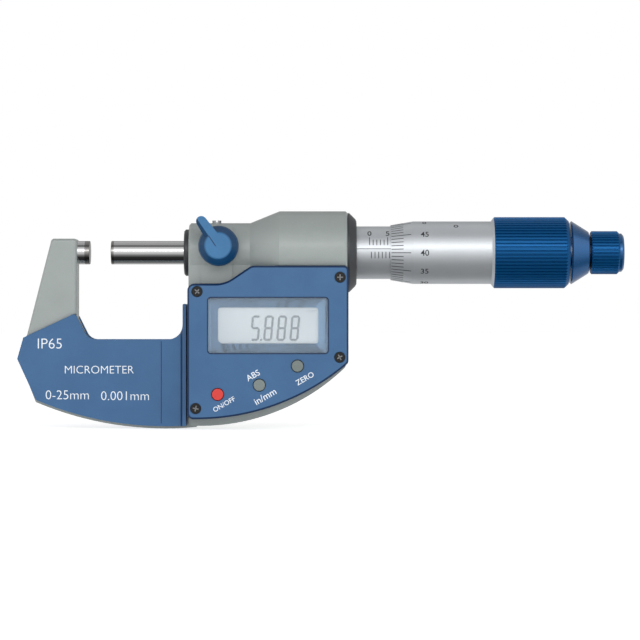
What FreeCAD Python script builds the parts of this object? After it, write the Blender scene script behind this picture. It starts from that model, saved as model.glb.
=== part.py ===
import FreeCAD, Part
import math
import os

# Electronic outside micrometer, 0 to 25 mm.
# Millimetres. X runs along the spindle away from the anvil, Z is up, the display faces -Y.
# The origin is the centre of the anvil's measuring face.

V = FreeCAD.Vector
AXIS_X = V(1, 0, 0)
AXIS_Y = V(0, 1, 0)

# ---- motion and fits ----
READING = 5.888            # gap between the measuring faces at rest
RUN_GAP = 0.03             # radial clearance of a running fit
SLIP_GAP = 0.05            # radial clearance of a sliding fit
FREE_GAP = 0.15            # clearance where nothing should touch

# ---- overall layout ----
THROAT_LENGTH = 27.6       # anvil face to the spindle leg
THROAT_DEPTH = 24.03       # spindle axis down to the floor of the throat
MODULE_LENGTH = 43.7       # spindle leg and bearing boss, along X
BOW_HALF = 3.5             # half thickness of the bow under its plates
ARM_HALF = 4.5             # half thickness of the anvil arm
BACK_Y = 8.5               # rear face of the display module

# ---- anvil arm ----
ARM_TOP = 3.8              # height of the arm above the axis
ARM_INNER = -3.4           # inner face of the arm
ARM_WIDTH = 7.1            # width of the arm at its top
ARM_CORNER = 0.8           # corner radius of the arm's top
ARM_EDGE = 0.9             # round along the arm's edges
ARM_SEAT = 0.06            # arm's foot clears the plates' upper edge
ANVIL_LENGTH = 9.0
TIP_LENGTH = 1.4           # hard metal tip of the anvil

# ---- spindle ----
SPINDLE_R = 3.25
SPINDLE_TIP = 0.8          # hard metal tip of the spindle
THREAD_HEIGHT = 0.75       # 0.5 mm pitch screw's crest above the spindle
KEYWAY_WIDTH = 1.1
KEYWAY_DEPTH = 0.75
TAIL_STEP = 0.25           # the rear seat for the thimble is this much smaller in radius

# ---- spindle leg and boss ----
LEG_R = 8.2
BOSS_R = 11.5
CONE_LENGTH_X = 8.1        # cone between the leg and the boss
CONE_LEAD = 0.9            # the cone ends this much before the chamber starts
LEG_FRONT = 7.4            # flat faces of the leg, from the axis plane
BACK_ROUND = 1.2           # round along the casting's rear edges
BUSH_WALL = 1.35           # spindle bushing
GRUB_X = 7.55              # bushing set screw, from the leg
GRUB_R = 1.25
GRUB_PROUD = 0.7           # it stands out of the leg
GRUB_BITE = 0.4            # it sinks into the bushing
CHAMBER_R = 9.3            # encoder chamber inside the boss
CHAMBER_LENGTH = 17.8
PAD_START = 3.5            # raised pad round the lock, from the leg's left face
PAD_WIDTH = 8.6
PAD_HEIGHT = 0.5

# ---- bow ----
PLATE_THICK = 1.7          # insulating plates
PLATE_LAP = 0.3            # the plates stand over the casting's edge
PLATE_RAMP_X = 7.5         # start of the plate's ramp, back from the leg
PLATE_LIP = 9.0            # plate's raised end, from the middle plane
BOW_R = 91.0               # lower edge of the plates
BOW_CENTRE_X = -6.6        # its centre, from the leg
BOW_DEPTH = 23.97          # throat floor to the lowest point
FOOT_SHOW = 0.7            # casting that shows under the plate's lower edge

# ---- display module ----
MODULE_ARC_R = 57.0        # lower edge of the casting
MODULE_ARC_X = 3.4         # its centre, from the leg
MODULE_ARC_Z = 9.1
COVER_FRONT = 12.5         # front face of the display cover, from the middle plane
COVER_DEPTH = 6.5
COVER_FLOOR = 2.0          # thickness of its front wall
COVER_RIM = 1.0            # thickness of its side walls
COVER_TOP = -3.85
COVER_STEP = -8.8          # its lower left shoulder
COVER_ARC_R = 63.57        # lower edge of the cover
COVER_ARC_X = 2.51         # its centre, from the leg
COVER_ARC_Z = 17.72
COVER_BEVEL = 0.5
GASKET = 0.3
SEAT_WALL = 2.45           # casting wall under the gasket
CAVITY_TOP = -11.8
CAVITY_FLOOR = -0.5        # y of the electronics pocket's floor
BOARD_BACK = -4.0          # y of the ledge that carries the circuit board
BOARD_THICK = 1.0

# ---- window and display ----
WINDOW_X = 5.4             # left edge, from the leg
WINDOW_TOP = -12.47
WINDOW_RIGHT = 5.15        # right edge, back from the boss's end
WINDOW_HEIGHT = 15.47
WINDOW_CORNER = 0.9
WINDOW_SINK = 0.2
WINDOW_THICK = 1.3
MASK_THICK = 0.2
MASK_SIDE = 2.8            # printed border beside the digits
LEDGE_WIDTH = 0.8
LCD_THICK = 1.8

# ---- buttons and cover screws ----
BUTTON_R = 1.6
BUTTON_ARC_R = 48.4        # the buttons stand on an arc below the window
BUTTON_FIRST = -84.3       # angle of the left button
BUTTON_PITCH = 13.85
BUTTON_PROUD = 0.4
BUTTON_TRAVEL = 0.4
BUTTON_FLANGE = 0.7        # the flange stands out of the cap
STEM_R = 1.0
SCREW_HEAD_R = 1.42
SCREW_RECESS_R = 1.55
SCREW_HEAD = 1.15          # height of the head
SCREW_SLOT = 0.34          # width of the cross recess
SCREW_SLOT_LENGTH = 1.7
SCREW_TURNS = [40, 12, 0, 62]   # each tightened to its own angle
SCREW_SHANK_R = 0.7
SCREW_LENGTH = 6.0
SCREWS_LEFT = [(2.57, -10.91), (2.18, -42.93)]   # from the leg
SCREWS_RIGHT = [(-2.0, -7.0), (-2.11, -28.9)]    # from the boss's end

# ---- spindle lock ----
LOCK_X = 8.4               # lock axis, from the leg
LOCK_Z = 1.6
LOCK_R = 5.5
LOCK_SCREW_R = 2.0
LOCK_FRONT = 15.6
LOCK_CLEAR = 0.3           # knob's back to the raised pad
LEVER_LENGTH = 8.0
LEVER_ANGLE = 34.6         # left of upright
LEVER_TIP_R = 1.45
LEVER_ROOT = 2.0           # half width where it runs into the knob
LEVER_THICK = 4.6
LEVER_CREST = 0.6          # ridge line, left of the lever's middle
LEVER_FALL = 2.0           # drop of its sloping left side
SHOE_R = 1.8
SHOE_LENGTH = 1.8          # from the spindle's front to the shoe's back

# ---- sleeve, thimble and ratchet ----
SLEEVE_R = 7.3
SLEEVE_WALL = 0.7
SLEEVE_ZERO = 6.15         # zero line, from the boss's end
SLEEVE_END = 32.1
SLEEVE_FLANGE = 4.8        # inner sleeve's flange inside the boss
NUT_START = 20.7           # internal thread, from the boss's end
RING_R = 11.0
RING_LENGTH = 2.5
THIMBLE_WALL = 1.23
THIMBLE_BEVEL = 6.26
THIMBLE_LENGTH = 27.86     # bevelled front edge to the grip's shoulder
HUB_LENGTH = 12.8          # thimble's seat on the spindle, from the shoulder
GRIP_THICK = 1.27          # ribbed grip over its seat
GRIP_LENGTH = 20.8
GRIP_RIBS = 62
GRIP_SEAT_STEP = 0.08      # the grip's seat is this much smaller than the thimble
CONE_LENGTH = 5.1
RATCHET_WALL = 1.38
RATCHET_R = 5.98
RATCHET_LENGTH = 7.8
RATCHET_RIBS = 39
RATCHET_TEETH = 12
TOOTH_HEIGHT = 0.6
SPRING_WIRE = 0.35
POST_R = 2.0               # post that carries the ratchet

# ---- battery ----
CELL_R = 10.0
CELL_THICK = 3.2
CELL_X = 22.0              # from the leg
CELL_Z = -28.0
CELL_POCKET = 5.1          # depth of the battery pocket
CONTACT_X = 7.0            # contacts, each side of the cell's centre
CONTACT_R = 0.5
CAP_R = 12.0
CAP_THICK = 1.5

# ---- places worked out from the sizes above ----
LEG = THROAT_LENGTH
BOSS_END = LEG + MODULE_LENGTH
THROAT_Z = -THROAT_DEPTH
BOW_CENTRE_Z = THROAT_Z - BOW_DEPTH + BOW_R
THREAD_R = SPINDLE_R + THREAD_HEIGHT
KEYWAY_FLOOR = SPINDLE_R - KEYWAY_DEPTH
TAIL_R = SPINDLE_R - TAIL_STEP
LEG_BORE_R = SPINDLE_R + BUSH_WALL
CHAMBER_START = MODULE_LENGTH - CHAMBER_LENGTH
CONE_END = CHAMBER_START - CONE_LEAD
CONE_START = CONE_END - CONE_LENGTH_X
SLEEVE_BORE_R = SLEEVE_R - SLEEVE_WALL
THIMBLE_BORE_R = SLEEVE_R + FREE_GAP
THIMBLE_R = THIMBLE_BORE_R + THIMBLE_WALL
THIMBLE_SEAT_R = THIMBLE_R - GRIP_SEAT_STEP
GRIP_R = THIMBLE_SEAT_R + GRIP_THICK
RATCHET_BORE_R = RATCHET_R - RATCHET_WALL
WINDOW_LENGTH = MODULE_LENGTH - WINDOW_X - WINDOW_RIGHT
BUTTON_FLANGE_R = BUTTON_R + BUTTON_FLANGE
SHOE_BACK = SPINDLE_R + SHOE_LENGTH
LOCK_BASE = LEG_R + PAD_HEIGHT + LOCK_CLEAR
PLATE_FACE = BOW_HALF + PLATE_THICK
COVER_INNER = COVER_FRONT - COVER_FLOOR
COVER_BACK = COVER_FRONT - COVER_DEPTH
SEAT_FACE = COVER_INNER - GASKET
CAVITY_INSET = COVER_RIM + FREE_GAP + SEAT_WALL
THIMBLE_EDGE = BOSS_END + SLEEVE_ZERO + READING
SHOULDER = THIMBLE_EDGE + THIMBLE_LENGTH
GRIP_START = SHOULDER + 0.7
GRIP_END = GRIP_START + GRIP_LENGTH
CONE_X = GRIP_END + 0.5
KNOB_X = CONE_X + CONE_LENGTH + 0.6
KNOB_END = KNOB_X + RATCHET_LENGTH
SLEEVE_LAST = BOSS_END + SLEEVE_END
WINDOW_LEFT = LEG + WINDOW_X
BOARD_FRONT = BOARD_BACK - BOARD_THICK

MADE = {}


def keep(name, shape):
    """Store a finished sub-part, one named node."""
    MADE[name] = shape.removeSplitter()
    return MADE[name]


def at(point, y=0.0):
    """A point given in the front view, as (x, z)."""
    return V(point[0], y, point[1])


def outline(points):
    """Flat face in the front view: (x, z) ends a line, ((x, z), (x, z)) an arc."""
    edges = []
    here = points[0]
    for step in points[1:] + points[:1]:
        if isinstance(step[0], tuple):
            through, end = step
            edges.append(Part.Arc(at(here), at(through), at(end)).toShape())
        else:
            end = step
            edges.append(Part.makeLine(at(here), at(end)))
        here = end
    return Part.Face(Part.Wire(edges))


def slab(face, y0, y1):
    """The face made solid between two depths."""
    low = face.copy()
    low.translate(V(0, y0, 0))
    return low.extrude(V(0, y1 - y0, 0))


def inset(face, distance):
    """The face with its edge moved in; a negative distance moves it out."""
    return face.makeOffset2D(-distance, 0, False, False, False)


def box(x0, x1, y0, y1, z0, z1):
    """Block between two corners."""
    return Part.makeBox(x1 - x0, y1 - y0, z1 - z0, V(x0, y0, z0))


def rounded(x0, x1, z0, z1, radius):
    """Rectangle in the front view with rounded corners."""
    d = radius * (1 - math.sqrt(0.5))
    return outline([
        (x0 + radius, z0), (x1 - radius, z0),
        ((x1 - d, z0 + d), (x1, z0 + radius)), (x1, z1 - radius),
        ((x1 - d, z1 - d), (x1 - radius, z1)), (x0 + radius, z1),
        ((x0 + d, z1 - d), (x0, z1 - radius)), (x0, z0 + radius),
        ((x0 + d, z0 + d), (x0 + radius, z0)),
    ][:-1])


def turned(profile):
    """Solid turned about the spindle axis from (x, radius) points."""
    points = [V(x, r, 0) for x, r in profile]
    face = Part.Face(Part.makePolygon(points + points[:1]))
    return face.revolve(V(0, 0, 0), AXIS_X, 360)


def tube(x0, x1, outer, bore):
    """Plain ring about the spindle axis."""
    return turned([(x0, bore), (x1, bore), (x1, outer), (x0, outer)])


def rod(x0, x1, radius):
    """Round bar about the spindle axis."""
    return Part.makeCylinder(radius, x1 - x0, V(x0, 0, 0), AXIS_X)


def peg(x, z, y0, y1, radius):
    """Round bar along the depth."""
    return Part.makeCylinder(radius, y1 - y0, V(x, y0, z), AXIS_Y)


def fuse(first, *others):
    """Union of solids."""
    return first.fuse(list(others))


def cut(first, *others):
    """First solid less the others."""
    return first.cut(list(others))


def ribbed(x0, x1, radius, depth, count, bore):
    """Ring with straight ribs along X, their crests at the radius."""
    points = []
    for i in range(count):
        for share, r in ((0.0, radius), (0.5, radius), (0.66, radius - depth), (0.84, radius - depth)):
            a = 2 * math.pi * (i + share) / count
            points.append(V(x0, r * math.cos(a), r * math.sin(a)))
    body = Part.Face(Part.makePolygon(points + points[:1])).extrude(V(x1 - x0, 0, 0))
    return body.cut(rod(x0 - 1, x1 + 1, bore))


def button_place(i):
    """Front view place of button i, on its arc below the window."""
    a = math.radians(BUTTON_FIRST + BUTTON_PITCH * i)
    x = LEG + MODULE_ARC_X + BUTTON_ARC_R * math.cos(a)
    return x, MODULE_ARC_Z + BUTTON_ARC_R * math.sin(a)


BUTTONS = [button_place(i) for i in range(3)]
SCREW_PLACES = [(LEG + x, z) for x, z in SCREWS_LEFT] + [(BOSS_END + x, z) for x, z in SCREWS_RIGHT]


# ---------------------------------------------------------------- outlines

def bow_low_z(x, radius=BOW_R):
    """Height of the bow's lower edge at x."""
    return BOW_CENTRE_Z - math.sqrt(radius ** 2 - (x - LEG - BOW_CENTRE_X) ** 2)


def plate_shoulder():
    """Left end and peak of the plates' upper edge, which crosses the arm."""
    return (ARM_INNER - 14.72, THROAT_Z + 0.47), (ARM_INNER - 0.75, THROAT_Z + 6.99)


def plate_outline():
    """Insulating plate: heel on the left, throat floor, raised end by the leg."""
    wall = LEG - 1.55
    end = LEG - 0.6
    heel = ARM_INNER - 11.23
    left, peak = plate_shoulder()
    middle = (heel + end) / 2
    return outline([
        left, peak,
        (ARM_INNER, THROAT_Z + 6.41), (ARM_INNER + 2.32, THROAT_Z + 1.74),
        ((ARM_INNER + 3.4, THROAT_Z + 0.55), (ARM_INNER + 5.6, THROAT_Z)),
        (wall - 4.2, THROAT_Z),
        ((wall - 1.23, THROAT_Z + 1.23), (wall, THROAT_Z + 4.2)),
        (wall, THROAT_Z + 9.4), ((wall + 0.35, THROAT_Z + 9.77), (end, THROAT_Z + 9.3)),
        (end, bow_low_z(end)), ((middle, bow_low_z(middle)), (heel, bow_low_z(heel))),
        (ARM_INNER - 16.39, THROAT_Z - 5.41),
    ])


def bow_outline():
    """Casting between the plates, with the anvil arm standing on its left."""
    low = BOW_R + FOOT_SHOW
    heel = ARM_INNER - 11.4
    middle = (heel + LEG) / 2
    top = ARM_TOP
    outer = ARM_INNER - ARM_WIDTH
    lap = PLATE_LAP
    c = ARM_CORNER
    d = c * (1 - math.sqrt(0.5))
    return outline([
        (ARM_INNER, top - c), ((ARM_INNER - d, top - d), (ARM_INNER - c, top)),
        (outer + c, top), ((outer + d, top - d), (outer - 0.1, top - c)),
        (ARM_INNER - 13.85, THROAT_Z + 1.0), (ARM_INNER - 14.5, THROAT_Z + 0.4),
        (ARM_INNER - 16.1, THROAT_Z - 5.41), (heel, bow_low_z(heel, low)),
        ((middle, bow_low_z(middle, low)), (LEG + 2, bow_low_z(LEG + 2, low))),
        (LEG + 2, -12.0), (LEG, -12.0), (LEG - 0.7, THROAT_Z + 9.0),
        (LEG - 1.2, THROAT_Z + 4.2), ((LEG - 2.6, THROAT_Z + 0.9), (LEG - 5.7, THROAT_Z - lap)),
        (ARM_INNER + 5.6, THROAT_Z - lap),
        ((ARM_INNER + 3.2, THROAT_Z + 0.2), (ARM_INNER + 2.0, THROAT_Z + 1.5)),
        (ARM_INNER, THROAT_Z + 5.9),
    ])


def arc_z(x, centre_x, centre_z, radius):
    """Height at x of a lower arc."""
    return centre_z - math.sqrt(radius ** 2 - (x - centre_x) ** 2)


def module_outline():
    """Casting behind the display cover, below the leg and the boss."""
    cx = LEG + MODULE_ARC_X
    right = BOSS_END - 0.05

    def low(x):
        return arc_z(x, cx, MODULE_ARC_Z, MODULE_ARC_R)

    return outline([
        (LEG, -2.0), (LEG, low(LEG + 1.5) + 1.2),
        ((LEG + 0.35, low(LEG + 1.5) + 0.3), (LEG + 1.5, low(LEG + 1.5))),
        ((cx + 20.0, low(cx + 20.0)), (right - 1.2, low(right - 1.2))),
        ((right - 0.25, low(right) + 0.1), (right, low(right) + 1.6)), (right, -2.0),
    ])


def smooth_corners(face, corners):
    """The flat face with each named corner (x, z, radius) rounded to a tangent arc."""
    block = slab(face, 0.0, 1.0)
    for x, z, radius in corners:
        upright = [e for e in block.Edges if e.BoundBox.YLength > 0.9]
        nearest = min(upright, key=lambda e: (e.BoundBox.Center - V(x, 0.5, z)).Length)
        block = block.makeFillet(radius, [nearest])
    return min(block.Faces, key=lambda f: f.BoundBox.YMax)


def cover_outline():
    """Display cover: low shoulder on the left, an S to the top, a long arc below."""
    x0 = LEG - 0.1
    x1 = BOSS_END + 0.3
    cx = LEG + COVER_ARC_X
    middle = (x0 + x1) / 2
    z0 = arc_z(x0, cx, COVER_ARC_Z, COVER_ARC_R)
    z1 = arc_z(x1, cx, COVER_ARC_Z, COVER_ARC_R)
    slope_start = (LEG + 10.1, COVER_STEP)
    slope_end = (LEG + 17.45, COVER_TOP)
    sharp = outline([
        (x0, COVER_STEP), slope_start, slope_end, (x1, COVER_TOP), (x1, z1),
        ((middle, arc_z(middle, cx, COVER_ARC_Z, COVER_ARC_R)), (x0, z0)),
    ])
    return smooth_corners(sharp, [
        (x0, COVER_STEP, 1.8), (*slope_start, 8.0), (*slope_end, 3.0),
        (x1, COVER_TOP, 1.3), (x1, z1, 1.5), (x0, z0, 1.6),
    ])


def cavity_outline(extra=0.0):
    """Opening of the electronics pocket, inside the cover's seat."""
    face = inset(cover_outline(), CAVITY_INSET + extra)
    below = outline([
        (LEG - 5, CAVITY_TOP - extra), (BOSS_END + 5, CAVITY_TOP - extra),
        (BOSS_END + 5, -80.0), (LEG - 5, -80.0),
    ])
    return face.common(below)


# ---------------------------------------------------------------- frame

def grub_bar(radius, length):
    """Upright bar where the bushing's set screw stands."""
    foot = V(LEG + GRUB_X, 0, LEG_BORE_R - GRUB_BITE)
    return Part.makeCylinder(radius, length, foot, V(0, 0, 1))


def lock_holes():
    """Bores for the lock screw and the shoe, and the stop pocket behind them."""
    x = LEG + LOCK_X
    screw = peg(x, LOCK_Z, -LEG_FRONT - 5, -SHOE_BACK + 0.25, LOCK_SCREW_R + RUN_GAP)
    shoe = peg(x, LOCK_Z, -SHOE_BACK - SLIP_GAP, -SPINDLE_R + 1.5, SHOE_R + RUN_GAP)
    return fuse(screw, shoe)


def boss_body():
    """Turned outside of the leg, the cone and the boss."""
    return turned([
        (LEG, 0), (BOSS_END, 0), (BOSS_END, BOSS_R - 0.4), (BOSS_END - 0.4, BOSS_R),
        (LEG + CONE_END, BOSS_R), (LEG + CONE_START, LEG_R), (LEG + 0.5, LEG_R), (LEG, LEG_R - 0.5),
    ])


def lock_pad():
    """Raised pad on the leg round the lock."""
    x0 = LEG + PAD_START
    x1 = x0 + PAD_WIDTH
    band = rod(x0, x1, LEG_R + PAD_HEIGHT)
    flat = box(x0, x1, -LEG_FRONT - PAD_HEIGHT, 0, COVER_STEP - 1.0, LOCK_Z + 2.0)
    front = box(x0, x1, -LEG_R * 2, 0, -LEG_R, LEG_R - 1.2)
    return fuse(band.common(front), flat)


def make_frame():
    """Casting: bow, anvil arm, leg, boss, electronics and battery pockets."""
    bow = slab(bow_outline(), -BOW_HALF, BOW_HALF)
    left, peak = plate_shoulder()
    foot_x, foot_z = left[0], left[1] + ARM_SEAT
    arm_zone = outline([
        (foot_x, foot_z), (peak[0], peak[1] + ARM_SEAT), (ARM_INNER + 1, peak[1] + ARM_SEAT),
        (ARM_INNER + 1, ARM_TOP + 1), (foot_x, ARM_TOP + 1),
    ])
    arm = slab(bow_outline().common(arm_zone), -ARM_HALF, ARM_HALF)
    arm = arm.makeFillet(ARM_EDGE, [
        e for e in arm.Edges
        if e.BoundBox.YLength < 0.01 and e.BoundBox.ZMax > THROAT_Z + 8.0
    ])
    block = slab(module_outline(), -COVER_BACK, BACK_Y)
    rear = [e for e in block.Edges if e.BoundBox.YMin > BACK_Y - 0.01 and e.BoundBox.ZMin < -2.1]
    block = block.makeFillet(BACK_ROUND, rear)
    leg_top = math.sqrt(LEG_R ** 2 - LEG_FRONT ** 2)
    leg = box(LEG, LEG + CONE_END, -LEG_FRONT, LEG_FRONT, -12.0, leg_top)
    boss = boss_body()
    pad = lock_pad()
    seat = slab(inset(cover_outline(), COVER_RIM + FREE_GAP), -SEAT_FACE, -COVER_BACK + 0.1)
    pocket = slab(inset(cover_outline(), -FREE_GAP), -COVER_FRONT - 2, -COVER_BACK)
    front_flat = slab(inset(cover_outline(), -FREE_GAP), -COVER_FRONT - 2, -SEAT_FACE)
    body = fuse(bow, arm, block, leg, pad).cut(pocket)
    body = fuse(body, boss.cut(front_flat), seat)
    cavity = slab(cavity_outline(), -SEAT_FACE - 1, BOARD_BACK)
    well = slab(cavity_outline(1.0), BOARD_BACK - 0.1, CAVITY_FLOOR)
    cx = LEG + CELL_X
    holes = [
        cavity, well,
        rod(LEG - 1, LEG + CHAMBER_START + 1, LEG_BORE_R),
        rod(LEG + CHAMBER_START, BOSS_END + 1, CHAMBER_R),
        rod(-ANVIL_LENGTH, 1.0, SPINDLE_R),
        lock_holes(),
        peg(cx, CELL_Z, BACK_Y - CELL_POCKET, BACK_Y + 1, CELL_R + 0.3),
        peg(cx, CELL_Z, BACK_Y - CAP_THICK, BACK_Y + 1, CAP_R + FREE_GAP),
        peg(cx + CONTACT_X, CELL_Z, CAVITY_FLOOR - 1, BACK_Y - 4, CONTACT_R + 0.4),
        peg(cx - CONTACT_X, CELL_Z, CAVITY_FLOOR - 1, BACK_Y - 4, CONTACT_R + 0.4),
        grub_bar(GRUB_R + SLIP_GAP, 5.0),
    ]
    for x, z in SCREW_PLACES:
        holes.append(peg(x, z, -SEAT_FACE - 1, -SEAT_FACE + SCREW_LENGTH - COVER_FLOOR, SCREW_SHANK_R))
    keep("frame", cut(body, *holes))


def make_anvil():
    """Anvil pressed into the arm, with its hard metal tip."""
    keep("anvil", rod(-ANVIL_LENGTH, -TIP_LENGTH, SPINDLE_R))
    tip = turned([
        (-TIP_LENGTH, 0), (0, 0), (0, SPINDLE_R - 0.12), (-0.12, SPINDLE_R), (-TIP_LENGTH, SPINDLE_R)])
    keep("anvil_tip", tip)


def plate_profile():
    """Side profile of the front plate seen from above: flat, ramp, steep step, lip."""
    wall = LEG - 1.6
    points = [
        V(-60, -BOW_HALF, 0), V(-60, -PLATE_FACE, 0), V(LEG - PLATE_RAMP_X, -PLATE_FACE, 0),
        V(wall - 0.6, -PLATE_FACE - 1.5, 0), V(wall, -PLATE_LIP, 0),
        V(LEG + 5, -PLATE_LIP, 0), V(LEG + 5, -BOW_HALF, 0),
    ]
    face = Part.Face(Part.makePolygon(points + points[:1]))
    face.translate(V(0, 0, -60))
    return face.extrude(V(0, 0, 120))


def make_plates():
    """The two insulating plates, one the mirror of the other."""
    plate = slab(plate_outline(), -PLATE_LIP - 1, -BOW_HALF).common(plate_profile())
    keep("front_insulating_plate", plate)
    keep("rear_insulating_plate", plate.mirror(V(0, 0, 0), AXIS_Y))


# ---------------------------------------------------------------- spindle bearing and encoder

def make_bearing():
    """Seal collar, ring, bushing and the bushing's set screw."""
    x = LEG
    bore = SPINDLE_R + SLIP_GAP
    keep("spindle_seal_collar", turned([
        (x - 1.4, bore), (x, bore), (x, bore + 3.15), (x - 1.0, bore + 3.15), (x - 1.4, bore + 2.7)]))
    ring = Part.makeTorus(SPINDLE_R + 0.6, 0.5, V(x + 0.6, 0, 0), AXIS_X)
    keep("spindle_o_ring", ring)
    bush = tube(x + 1.15, x + CONE_START + 1.5, LEG_BORE_R, SPINDLE_R + RUN_GAP)
    side = peg(x + LOCK_X, LOCK_Z, -LEG_R, 0.5, SHOE_R + RUN_GAP)
    dimple = grub_bar(GRUB_R + 0.1, 3.0)
    keep("spindle_bushing", bush.cut(fuse(side, dimple)))
    grub = grub_bar(GRUB_R, LEG_R + GRUB_PROUD - LEG_BORE_R + GRUB_BITE)
    slot = box(x + GRUB_X - 0.3, x + GRUB_X + 0.3, -2, 2, LEG_R + 0.2, LEG_R + 1)
    keep("bushing_set_screw", grub.cut(slot))


def make_encoder():
    """Fixed and turning discs of the rotary encoder and the key in the spindle."""
    x = LEG + CHAMBER_START + 1.0
    stator = tube(x, x + 1.0, CHAMBER_R - SLIP_GAP, LEG_BORE_R)
    keep("encoder_stator", stator)
    rotor_x = x + 1.4
    bush_r = SPINDLE_R + 1.75
    bore = SPINDLE_R + RUN_GAP
    keep("encoder_rotor", tube(rotor_x, rotor_x + 1.0, CHAMBER_R - 0.7, bush_r - 1.0))
    bush_end = rotor_x + 7.0
    key_x = rotor_x + 4.1
    bush = turned([
        (rotor_x, bore), (bush_end, bore), (bush_end, bush_r), (rotor_x + 1.0, bush_r),
        (rotor_x + 1.0, bush_r - 1.0), (rotor_x, bush_r - 1.0)])
    key_hole = Part.makeCylinder(0.5, 6, V(key_x, 0, 0), V(0, 0, 1))
    keep("rotor_bush", bush.cut(key_hole))
    key = Part.makeCylinder(0.5, bush_r - KEYWAY_FLOOR - SLIP_GAP,
                            V(key_x, 0, KEYWAY_FLOOR + SLIP_GAP), V(0, 0, 1))
    keep("rotor_key", key.common(rod(rotor_x, bush_end, bush_r)))
    keep("rotor_retainer", tube(bush_end + 0.2, bush_end + 1.2, CHAMBER_R - 0.02, SPINDLE_R + FREE_GAP))


# ---------------------------------------------------------------- sleeve

def make_sleeve():
    """Threaded inner sleeve, its nut, the graduated sleeve and the end ring."""
    x = BOSS_END
    nut_start = x + NUT_START
    flange = x - SLEEVE_FLANGE
    bore = THREAD_R + 0.4
    tube_r = SLEEVE_BORE_R - SLIP_GAP
    nose_r = tube_r - 0.95
    inner = turned([
        (flange, bore), (nut_start, bore), (nut_start, THREAD_R + RUN_GAP),
        (SLEEVE_LAST - 0.4, THREAD_R + RUN_GAP), (SLEEVE_LAST - 0.4, nose_r), (nut_start + 5.0, nose_r),
        (nut_start + 5.0, tube_r), (x, tube_r), (x, CHAMBER_R - 0.03), (flange, CHAMBER_R - 0.03)])
    slits = [box(nut_start + 3, SLEEVE_LAST + 1, -0.4, 0.4, 0, 12)]
    for turn in (120, 240):
        other = slits[0].copy()
        other.rotate(V(0, 0, 0), AXIS_X, turn)
        slits.append(other)
    keep("inner_sleeve", inner.cut(slits))
    keep("adjusting_nut", tube(nut_start + 5.5, nut_start + 9.5, SLEEVE_BORE_R - 0.1, nose_r + 0.02))
    keep("outer_sleeve", turned([
        (x + 0.9, SLEEVE_BORE_R), (SLEEVE_LAST, SLEEVE_BORE_R), (SLEEVE_LAST, SLEEVE_R - 0.3),
        (SLEEVE_LAST - 0.3, SLEEVE_R), (x + 0.9, SLEEVE_R)]))
    end = x + 0.1 + RING_LENGTH
    keep("end_ring", turned([
        (x + 0.1, SLEEVE_BORE_R), (x + 0.85, SLEEVE_BORE_R), (x + 0.85, SLEEVE_R + 0.03),
        (end, SLEEVE_R + 0.03), (end, SLEEVE_R + 1.4), (end - 0.3, SLEEVE_R + 2.0),
        (x + 0.6, RING_R), (x + 0.1, RING_R)]))


# ---------------------------------------------------------------- spindle and thimble

def make_spindle():
    """Spindle with its screw, keyway, tail and hard metal tip."""
    thread_x = BOSS_END + 1.2
    thread_end = SHOULDER - 1.7
    tail_end = SHOULDER + HUB_LENGTH
    body = turned([
        (READING + SPINDLE_TIP, 0), (tail_end, 0), (tail_end, TAIL_R), (SHOULDER + 0.2, TAIL_R),
        (SHOULDER + 0.2, THREAD_R - 0.5), (thread_end, THREAD_R - 0.5), (thread_end, THREAD_R),
        (thread_x, THREAD_R), (thread_x, SPINDLE_R), (READING + SPINDLE_TIP, SPINDLE_R)])
    half = KEYWAY_WIDTH / 2
    keyway = box(LEG + 10.9, BOSS_END - 2.8, -half, half, KEYWAY_FLOOR, 6.0)
    screw_hole = rod(SHOULDER + 2.8, tail_end + 1, 1.5)
    keep("spindle", cut(body, keyway, screw_hole))
    keep("spindle_tip", turned([
        (READING, 0), (READING + SPINDLE_TIP, 0), (READING + SPINDLE_TIP, SPINDLE_R),
        (READING + 0.1, SPINDLE_R), (READING, SPINDLE_R - 0.1)]))


def make_thimble():
    """Thimble with its bevel, hub and ribbed grip."""
    bore = THIMBLE_BORE_R
    hub_start = SHOULDER + 0.3
    hub_end = SHOULDER + HUB_LENGTH
    seat_end = GRIP_END
    keep("thimble", turned([
        (THIMBLE_EDGE, bore), (hub_start, bore), (hub_start, TAIL_R + 0.02), (hub_end, TAIL_R + 0.02),
        (hub_end, bore), (seat_end, bore), (seat_end, THIMBLE_SEAT_R), (GRIP_START, THIMBLE_SEAT_R),
        (GRIP_START, GRIP_R - 0.27), (SHOULDER, THIMBLE_R), (THIMBLE_EDGE + THIMBLE_BEVEL, THIMBLE_R),
        (THIMBLE_EDGE, bore + 0.15)]))
    grip = ribbed(GRIP_START, GRIP_END, GRIP_R, 0.38, GRIP_RIBS, THIMBLE_SEAT_R + 0.02)
    shape = turned([
        (GRIP_START, 0), (GRIP_END, 0), (GRIP_END, GRIP_R - 1.05), (GRIP_END - 1.1, GRIP_R),
        (GRIP_START + 0.3, GRIP_R), (GRIP_START, GRIP_R - 0.3)])
    keep("thimble_grip", grip.common(shape))


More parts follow.
